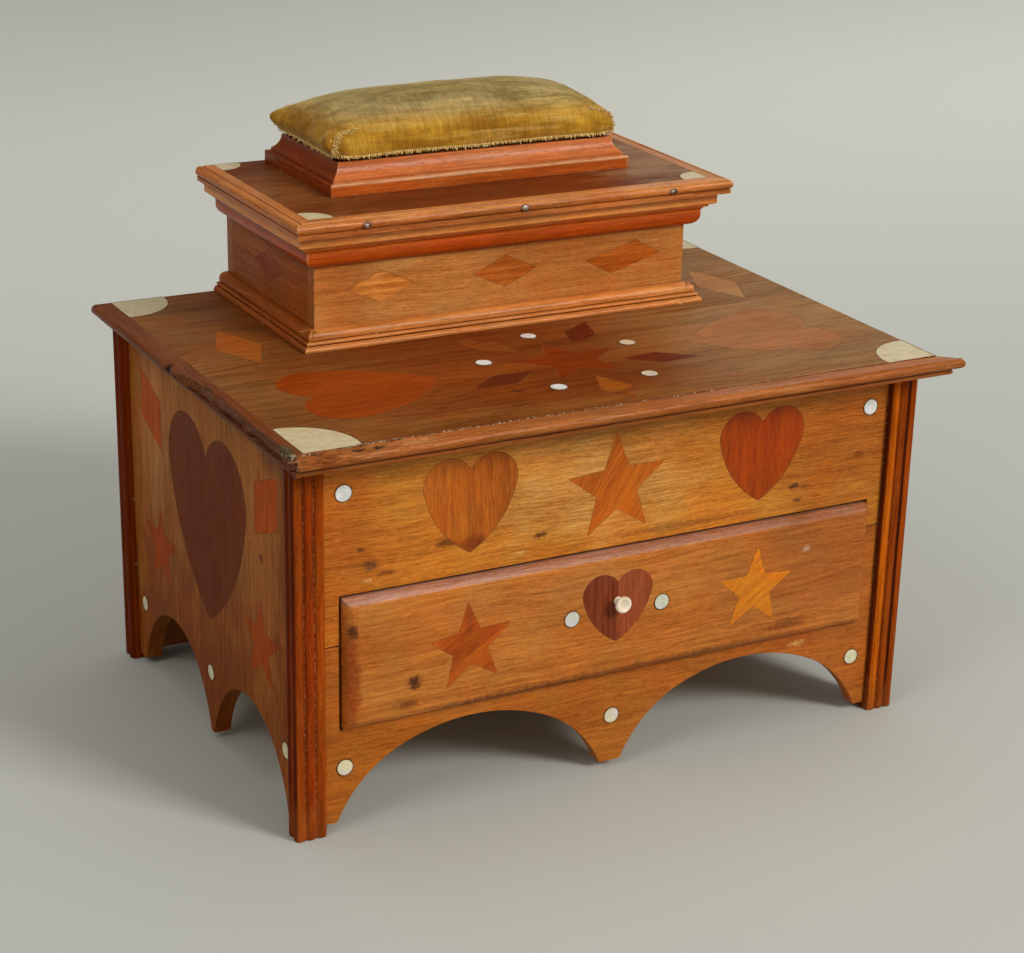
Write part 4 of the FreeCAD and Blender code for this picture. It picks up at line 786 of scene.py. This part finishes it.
FRONT, LEFT, ABOVE, EAST = (0, -1, 0), (-1, 0, 0), (0, 0, 1), (1, 0, 0)
LINES = (
    ("front_heart_inlays", "case", (FRONT,), 0.17), ("front_star_inlay", "case", (FRONT,), 0.15),
    ("side_heart_inlays", "case", (LEFT, EAST), 0.15), ("side_star_inlays", "case", (LEFT, EAST), 0.13),
    ("side_lozenge_inlays", "case", (LEFT, EAST), 0.13), ("drawer_heart_inlay", "drawer", (FRONT,), 0.16),
    ("drawer_star_inlays", "drawer", (FRONT,), 0.14), ("lid_heart_inlays", "main_lid", (ABOVE,), 0.13),
    ("lid_star_inlay", "main_lid", (ABOVE,), 0.13), ("lid_rhombus_inlays", "main_lid", (ABOVE,), 0.13),
    ("upper_diamond_inlays", "main_lid", (FRONT, LEFT, EAST), 0.13),
    ("lid_bone_corners", "main_lid", (ABOVE,), 0.2), ("upper_lid_bone_corners", "upper_lid", (ABOVE,), 0.16),
    ("case_pearls", "case", (FRONT, LEFT, EAST), 0.26), ("drawer_pearls", "drawer", (FRONT,), 0.26),
    ("lid_pearls", "main_lid", (ABOVE,), 0.22))
for node, body, sides, radius in LINES:
    tree = rim_line if "pearl" in node else glue_line
    points, edges = outlines(node, sides)
    tree.grow(node + "_line", body, "wood_dark", points, edges, Radius=radius * MM, Wobble=0.12 * MM)


def crack(name, body, places, step, radius, wobble):
    """A dark line of old glue and dirt through places in mm."""
    points, edges = [], []
    for first, last in places:
        first, last = Vector(first), Vector(last)
        count = max(int((last - first).length / step), 1)
        edges += [(len(points) + i, len(points) + i + 1) for i in range(count)]
        points += [first.lerp(last, i / count) * MM for i in range(count + 1)]
    glue_line.grow(name, body, "wood_dark", points, edges, Radius=radius * MM, Wobble=wobble * MM)


crack("front_board_seam", "case", (((-158.8, -109, 97.9), (-150.1, -109, 97.8)),
                                   ((150.2, -109, 107.4), (158.9, -109, 107.9))), 2, 0.28, 0.3)
crack("right_post_joint", "case", (((159.0, -109.05, 30), (159.0, -109.05, 193)),), 3, 0.42, 0.7)

# %% [markdown]
# ## Broken and crumbling mouldings
# The moulding on the left of the lid has lost its outer bead in front, and the one in front is chipped
# near the corner. Torn wood is rough along its fibres, so copies of both are cut into short slices and
# their points are pushed in by noise that is stretched along the grain, most where the wood is broken.
# Over both breaks the frame leaves a skin of 0.03 mm of the bead's crown, which is cut away first.


# %% Slices and tears
def sliced_copy(node, name, cuts):
    """A merged copy of a node that is cut at each (axis, places in mm)."""
    piece = merged_copy(node, name)
    with edited(piece) as work:
        for axis, places in cuts:
            normal = Vector([axis == a for a in "xyz"])
            for place in places:
                bmesh.ops.bisect_plane(work, geom=[*work.verts, *work.edges, *work.faces], dist=0.01 * MM,
                                       plane_co=normal * place * MM, plane_no=normal)
        split_large_faces(work)
    return piece


def split_large_faces(work):
    bmesh.ops.triangulate(work, faces=[f for f in work.faces if len(f.verts) > 4])


def cut_away(piece, gone):
    """Deletes the points where gone holds for their place in mm, and closes what that opens."""
    with edited(piece) as work:
        bmesh.ops.delete(work, geom=[v for v in work.verts if gone(*(v.co / MM))], context="VERTS")
        bmesh.ops.holes_fill(work, edges=[e for e in work.edges if e.is_boundary], sides=0)
        split_large_faces(work)
        print(piece.name, "has", sum(not e.is_manifold for e in work.edges), "open edges")


def steps(start, stop, step):
    return [start + step * i for i in range(int((stop - start) / step) + 1)]


def smooth(value, low, high):
    share = min(max((value - low) / (high - low), 0), 1)
    return share * share * (3 - 2 * share)


def finish_copy(piece, node):
    piece.data.materials.clear()
    piece.data.materials.append(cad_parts[node].data.materials[0])
    piece.data.shade_smooth()
    piece.data.set_sharp_from_angle(angle=math.radians(40))
    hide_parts(node)
    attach(piece, "main_lid")
    print(piece.name, len(piece.data.polygons), "faces")


# %% Left moulding
left_edge = sliced_copy("lid_left_moulding", "broken_left_moulding", (
    ("x", steps(-185, -175, 0.9)), ("z", steps(194.6, 202.8, 0.9)),
    ("y", steps(-135.2, 26, 0.9) + steps(30, 130, 6))))
cut_away(left_edge, lambda x, y, z: x < -182.3 and y < -3.6 and z > 202.98)
for point in left_edge.data.vertices:
    x, y, z = point.co / MM
    broken = smooth(y, 24, 12) * smooth(x, -177.4, -179) * smooth(z, 196.2, 197.6)
    hole = math.exp(-((y - 19) / 3.4) ** 2) * smooth(x, -178, -181) * smooth(z, 195.5, 197.5)
    along = noise.noise(Vector((x * 0.9, y * 0.09, z * 0.9)))
    fine = noise.noise(Vector((x * 2.1 + 9, y * 0.5, z * 2.1)))
    push = broken * (0.35 + 1.1 * along + 0.5 * fine) + hole * 1.6
    drop = broken * (0.5 * fine + 0.5 * along) - broken * smooth(y, -108, -126) * 0.8
    quiet = noise.noise(Vector((x * 0.1, y * 0.02, z * 0.3))) * 0.18
    point.co += Vector((max(push, -0.25) + quiet * 0.3, 0, min(drop, 0.1) + quiet * smooth(z, 196, 202))) * MM
finish_copy(left_edge, "lid_left_moulding")

# %% Front moulding
front_edge = sliced_copy("lid_front_moulding", "chipped_front_moulding", (
    ("y", steps(-135.4, -125.6, 0.9)), ("z", steps(194.6, 202.8, 0.9)),
    ("x", steps(-180, -96, 0.9) + steps(-90, 185, 5))))
cut_away(front_edge, lambda x, y, z: -176 < x < -167.9 and y < -132.7 and z > 202.98)
for point in front_edge.data.vertices:
    x, y, z = point.co / MM
    chipped = smooth(x, -104, -128) * smooth(z, 199.5, 201.5)
    along = noise.noise(Vector((x * 0.11, y * 0.8, z * 0.8)))
    fine = noise.noise(Vector((x * 0.6, y * 1.6 + 4, z * 1.6)))
    holes = sum(math.exp(-((x - at) / 2.6) ** 2 - ((y + 129.5) / 1.5) ** 2) for at in (-150, -140))
    quiet = noise.noise(Vector((x * 0.02, y * 0.2, z * 0.3))) * 0.2
    drop = chipped * max(0.25 + 1.0 * along + 0.4 * fine, 0) + holes * 1.8 * smooth(z, 198, 201)
    point.co += Vector((0, chipped * max(along, 0) * 0.8, quiet * smooth(z, 198, 202) - drop)) * MM
finish_copy(front_edge, "lid_front_moulding")

# %% [markdown]
# ## Crumbs of glue, nail heads and screws
# Old glue crumbles out of the joint behind the front moulding. The three nails of the upper lid have
# worn heads, and every hinge leaf is held by small screws. The crumbs and screws are grown at points, and
# the nail heads are built one by one.


# %% Crumbs
def crumb_tree(material):
    """Small rough grains at points, turned and scaled at random."""
    g = Growth("crumbs", Size=0.001, Seed=1)
    grain = g.node("GeometryNodeMeshIcoSphere", {}, {"Radius": 1.0, "Subdivisions": 1})
    turns = g.chance((0, 0, 0), (6.28, 6.28, 6.28), g.given["Seed"])
    return g.end(g.at_points(grain, turns, g.chance(0.4, 1.0, g.given["Seed"]) * g.given["Size"]), material)


crumbs = crumb_tree(plain_dirt("crumbling glue", (196, 176, 144), (112, 84, 60), 300))
rng = random.Random(5)
places = [Vector((-150 + 230 * rng.random() ** 1.5, -125 + rng.gauss(0, 0.35), 203.05)) * MM
          for _ in range(420)]
places += [Vector((-176 + rng.gauss(0, 2.5), -126 + rng.gauss(0, 2.2), 202.4)) * MM for _ in range(120)]
crumbs.grow("lid_joint_crumbs", "main_lid", "wood_light", places, Size=0.42 * MM, Seed=3)
places = [Vector((159 + rng.gauss(0, 0.3), -109.2, 60 + 130 * rng.random() ** 0.7)) * MM for _ in range(90)]
crumbs.grow("post_joint_crumbs", "case", "wood_light", places, Size=0.36 * MM, Seed=6)
crack("lid_joint_line", "main_lid", (((-150, -125, 202.96), (174, -125, 202.96)),), 3, 0.34, 0.5)
crack("lid_corner_crack", "main_lid", (((-176, -126.6, 202.6), (-184.2, -134.8, 199.5)),
                                       ((-185.3, -135.8, 200), (-182, -132.5, 194.6))), 1.5, 0.5, 0.6)

# %% Nail heads
nail_low, _, nail_mid = box_of("upper_lid_nails")
CORNERS = 14
points, faces = [], []
for share, reach in ((-1, 1.3), (0, 2.0), (1, 1.9)):
    middle = Vector((88.2 * share * MM, nail_low.y + 0.1 * MM, nail_mid.z))
    bent = random.Random(share + 3)
    turns = [(math.tau * i / CORNERS, bent.uniform(0.85, 1.15)) for i in range(CORNERS)]
    first, second, tip = (len(points) + CORNERS * i for i in range(3))
    points += [middle + Vector((math.cos(a) * reach * 1.2 * b, 0.25, math.sin(a) * reach * 0.8 * b)) * MM
               for a, b in turns]
    points += [middle + Vector((math.cos(a) * reach * 0.95 * b, -0.3 * b, math.sin(a) * reach * 0.58 * b)) * MM
               for a, b in turns]
    points.append(middle + Vector((0.3, -0.32, 0.1)) * MM)
    for i in range(CORNERS):
        j = (i + 1) % CORNERS
        faces += [(first + i, first + j, second + j, second + i), (second + i, second + j, tip)]
    faces.append(tuple(first + i for i in reversed(range(CORNERS))))
nail_heads = new_piece("nail_heads", points, (), faces)
nail_heads.data.materials.append(IRON)
nail_heads.data.shade_smooth()
with edited(nail_heads) as work:
    bmesh.ops.recalc_face_normals(work, faces=work.faces)
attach(nail_heads, "upper_lid")
print("nail heads:", len(nail_heads.data.polygons), "faces")


# %% Hinge screws
def screw_tree():
    g = Growth("screws", Radius=0.0016, Height=0.0005)
    radius, height = g.given["Radius"], g.given["Height"]
    head = g.node("GeometryNodeMeshCylinder", {}, {"Vertices": 16, "Radius": radius, "Depth": height})
    slot = g.node("GeometryNodeMeshCube", {}, {"Size": g.joined(radius * 1.9, radius * 0.28, height * 1.1)})
    both = g.tree.nodes.new("GeometryNodeJoinGeometry")
    for part, material in ((slot, GLUE), (head, BRASS)):
        part = g.node("GeometryNodeSetMaterial", {}, {"Geometry": part, "Material": material})
        g.tree.links.new(part.socket, both.inputs[0])
    return g.end(g.at_points(Wire(g, both.outputs[0]), g.joined(0, 0, g.chance(0.0, 3.1, 4))))


screws = screw_tree()
# Leaves that face each other have their screws at different places, or the heads would meet
for node, body, step in (("lid_hinge_case_leaves", "case", 12), ("upper_hinge_wall_leaves", "main_lid", 9),
                         ("lid_hinge_lid_leaves", "main_lid", 12), ("upper_hinge_lid_leaves", "upper_lid", 9)):
    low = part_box(node)[0]
    plate = [v.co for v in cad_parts[node].data.vertices if abs(v.co.y - low.y) < 0.1 * MM and v.co.x > 0]
    hinge_x = (max(p.x for p in plate) + min(p.x for p in plate)) / 2
    if "lid_leaves" in node:
        level, shifts = min(p.z for p in plate) + 0.22 * MM, (-step / 2, step / 2)
    else:
        level, shifts = max(p.z for p in plate) - 0.22 * MM, (-step, 0, step)
    inward, radius = (3.6, 1.7) if step > 10 else (2.8, 1.3)
    points = [Vector((side * hinge_x + shift * MM, low.y + inward * MM, level))
              for side in (-1, 1) for shift in shifts]
    screws.grow(node.replace("leaves", "screws"), body, "brass", points, Radius=radius * MM, Height=0.5 * MM)

# %% [markdown]
# ## Pincushion
# The cushion is a box pad of gold velvet on the plinth. Its cover swells over the stuffing while its
# lower edge stays tacked down, which a cloth simulation with air pressure inside gives by itself. Small
# folds and lumps are added after it, and last the frayed edges of the seams.

# %% Swelling the cushion
pad_low, pad_high, pad_mid = box_of("pincushion")


def swollen_pad(voxel, cap, frames):
    """The pad's cover, cut small and blown up. Voxel is the mesh's step and cap the longest move, in mm."""
    piece = merged_copy("pincushion", "velvet_cushion")
    for point in piece.data.vertices:
        off = point.co - pad_mid
        point.co.x, point.co.y = pad_mid.x + off.x * 0.985, pad_mid.y + off.y * 0.98
        point.co.z = pad_low.z + (point.co.z - pad_low.z) * 0.84
    remesh = piece.modifiers.new("remesh", "REMESH")
    remesh.mode, remesh.voxel_size = "VOXEL", voxel * MM
    bake_modifiers(piece)
    start = [point.co.copy() for point in piece.data.vertices]
    held = piece.vertex_groups.new(name="tacked")
    held.add([p.index for p in piece.data.vertices if p.co.z < pad_low.z + 1.2 * MM], 1.0, "REPLACE")
    cloth = piece.modifiers.new("cloth", "CLOTH")
    cloth.settings.quality = 8
    cloth.settings.mass = 0.05
    cloth.settings.tension_stiffness = cloth.settings.compression_stiffness = 6
    cloth.settings.bending_stiffness = 0.3
    cloth.settings.use_pressure = True
    cloth.settings.uniform_pressure_force = 50
    cloth.settings.vertex_group_mass = "tacked"
    cloth.settings.effector_weights.gravity = 0
    for number in range(1, frames + 1):
        scene.frame_set(number)
    bake_modifiers(piece)
    scene.frame_set(1)
    moves = []
    for point, was in zip(piece.data.vertices, start):
        move = point.co - was
        moves.append(move.length / MM)
        if move.length > cap * MM:
            point.co = was + move.normalized() * cap * MM
    print("the cover moved up to", round(max(moves), 2), "mm, on average", round(sum(moves) / len(moves), 2))
    return piece


cushion = swollen_pad(voxel=3.2, cap=8, frames=20)
tops = [point.co for point in cushion.data.vertices]
print("cushion in mm:", [round(f(p[k] for p in tops) / MM, 1) for k in range(3) for f in (min, max)])

# %% Lumps and folds
cushion.data.shade_smooth()
for point in cushion.data.vertices:
    x, y, z = point.co / MM
    up = smooth(z, 290, 300)
    lump = (noise.noise(Vector((x * 0.03, y * 0.045, 3))) * 0.9
            + noise.noise(Vector((x * 0.09, y * 0.12, 7))) * 0.3)
    corner = (math.exp(-((x + 78) ** 2 + (y - 48) ** 2) / 300)
              + 0.6 * math.exp(-((x - 78) ** 2 + (y - 48) ** 2) / 260))
    fold = math.sin(math.atan2(y - 44, x + 74) * 9 + z * 0.25) * 0.55 * corner * smooth(z, 291, 298)
    point.co += point.normal * (lump * up + fold) * MM
    u, v = (x - pad_mid.x / MM) / 83, (y - pad_mid.y / MM) / 39
    full = smooth(z, 289.5, 297)
    point.co.y += math.copysign(3.6 * (u * v) ** 2 * full, v) * MM
    if u < 0:
        point.co.x -= (6 * (u * v) ** 2 + 3.5 * u ** 6) * full * MM
    if z > pad_high.z / MM - 0.1:
        point.co.z = pad_high.z - 0.1 * MM
fine = cushion.modifiers.new("finer", "SUBSURF")
fine.levels = fine.render_levels = 1
bake_modifiers(cushion)
print("cushion:", len(cushion.data.polygons), "faces")


# %% Velvet
def velvet():
    f = Finish("gold velvet")
    across = f.streaked((22, 150, 260), 5, 0.65, 0.3)
    sweep = f.streaked((26, 42, 90), 4, 0.65, 0.2).rise(0.35, 0.65)
    pile = f.noise(f.place, 1700, 2, 0.6)
    rows = f.streaked((1500, 1500, 260), 1)
    strands = f.streaked((560, 150, 70), 4, 0.7, 0.4).rise(0.3, 0.7)
    height = f.along((0, 0, 1))
    body = f.coats(paint(186, 138, 40), (sweep, (144, 96, 18)))
    # The top is paler: partly worn pile and partly a painted sheen of the velvet's nap.
    worn_and_sheen = f.coats(paint(154, 136, 92), (sweep, (114, 98, 52)))
    colour = f.mix(height.rise(300 * MM, 312 * MM) * 0.9, body, worn_and_sheen)
    colour = f.coats(colour, (across.rise(0.5, 0.7) * 0.5, (204, 172, 98)),
                     (across.rise(0.47, 0.3) * 0.5, (120, 80, 22)),
                     (f.along((1, 0, 0)).rise(-70 * MM, -84 * MM) * 0.5, (140, 92, 14)),
                     (height.rise(294 * MM, 289 * MM) * 0.5, (186, 142, 62)))
    colour = f.dim(colour, 0.48 + pile * 0.4 + rows * 0.24 + strands * 0.38)
    return f.shade(colour, 0.95, f.bump(pile * 0.6 + rows * 0.5, 0.35 * MM, 0.7), Specular_IOR_Level=0.15,
                   Sheen_Weight=0.45, Sheen_Roughness=0.35, Sheen_Tint=paint(240, 216, 150))


cushion.data.materials.clear()
cushion.data.materials.append(velvet())
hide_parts("pincushion")
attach(cushion, "upper_lid")

# %% [markdown]
# ### Frayed edges
# The velvet was cut with a zigzag edge and tacked down, and its edge and corner seams have frayed into
# short tufts and a few longer threads. A tuft is a small cone, set at points along the edge and turned
# a little at random about the way it hangs, which each point carries as an attribute.


# %% Tufts and threads
def fray_tree():
    g = Growth("frayed edge", Length=0.0015, Width=0.0004, Looseness=0.5, Seed=1)
    width, seed = g.given["Width"], g.given["Seed"]
    away = g.node("GeometryNodeInputNamedAttribute", {"data_type": "FLOAT_VECTOR"}, {"Name": "away"})
    aim = g.vector("ADD", away, g.scaled(g.chance((-1, -1, -1), (1, 1, 1), seed), g.given["Looseness"]))
    aim = g.node("FunctionNodeAlignRotationToVector", {"axis": "Z"}, {"Vector": aim})
    tuft = g.node("GeometryNodeMeshCone", {}, {
        "Vertices": 5, "Radius Top": 0.25, "Radius Bottom": 1.0, "Depth": 1.0})
    size = g.joined(width, width, g.given["Length"] * g.chance(0.5, 1.2, seed))
    return g.end(g.at_points(tuft, aim, size), plain_dirt("frayed pile", (236, 212, 146), (196, 156, 80), 900))


fray = fray_tree()
skin = BVHTree.FromObject(cushion, bpy.context.evaluated_depsgraph_get())


def fray_edge(name, targets, **values):
    """Tufts at the cushion's nearest points to the targets, each (point in mm, way it hangs)."""
    points, ways = [], []
    for target, way in targets:
        near, normal, _, _ = skin.find_nearest(Vector(target) * MM)
        points.append(near - normal * 0.1 * MM)
        ways.append((Vector(way) + normal * 0.35).normalized())
    fray.grow(name, "upper_lid", "velvet", points, ways=ways, **values)


rng = random.Random(11)
x0, x1, y0, y1 = (v / MM for v in (pad_low.x, pad_high.x, pad_low.y, pad_high.y))
foot_level = pad_low.z / MM
ring = [((x, y0, foot_level + 1.0), (0, -0.8, -1)) for x in steps(x0, x1, 1.1)]
ring += [((x, y1, foot_level + 0.9), (0, 0.5, -1)) for x in steps(x0, x1, 1.5)]
ring += [((x0, y, foot_level + 1.0), (-0.8, 0, -1)) for y in steps(y0, y1, 1.1)]
ring += [((x1, y, foot_level + 0.9), (0.5, 0, -1)) for y in steps(y0, y1, 1.5)]
fray_edge("foot_fray", ring, Length=2.1 * MM, Width=0.5 * MM, Looseness=0.3, Seed=2)
loose = [((rng.uniform(x0, x1), y0, foot_level + 0.6), (rng.uniform(-0.6, 0.6), -0.6, -0.8))
         for _ in range(46)]
loose += [((x0, rng.uniform(y0, y1), foot_level + 0.6), (-0.6, rng.uniform(-0.6, 0.6), -0.8))
          for _ in range(20)]
fray_edge("foot_threads", loose, Length=3.0 * MM, Width=0.14 * MM, Looseness=0.8, Seed=3)
seam = []
for side_x, side_y in ((-1, -1), (1, -1), (-1, 1), (1, 1)):
    corner = Vector((x0 if side_x < 0 else x1, y0 if side_y < 0 else y1, foot_level + 0.8))
    bends = [corner + Vector((-side_x * a, -side_y * b, c))
             for a, b, c in ((0, 0, 0), (1, 0.5, 10), (6, 2, 16), (16, 4, 18))]
    for i in range(300):  # a hundred on each leg of the path
        leg, share = divmod(i / 100.001, 1)
        at = bends[int(leg)].lerp(bends[int(leg) + 1], share)
        at += Vector((rng.gauss(0, 1.0), rng.gauss(0, 0.6), rng.gauss(0, 0.6)))
        seam.append((at, (side_x * 0.3 + rng.uniform(-0.8, 0.8), side_y * 0.7, rng.uniform(-0.7, 0.5))))
fray_edge("corner_fray", seam, Length=1.8 * MM, Width=0.3 * MM, Looseness=0.5, Seed=4)
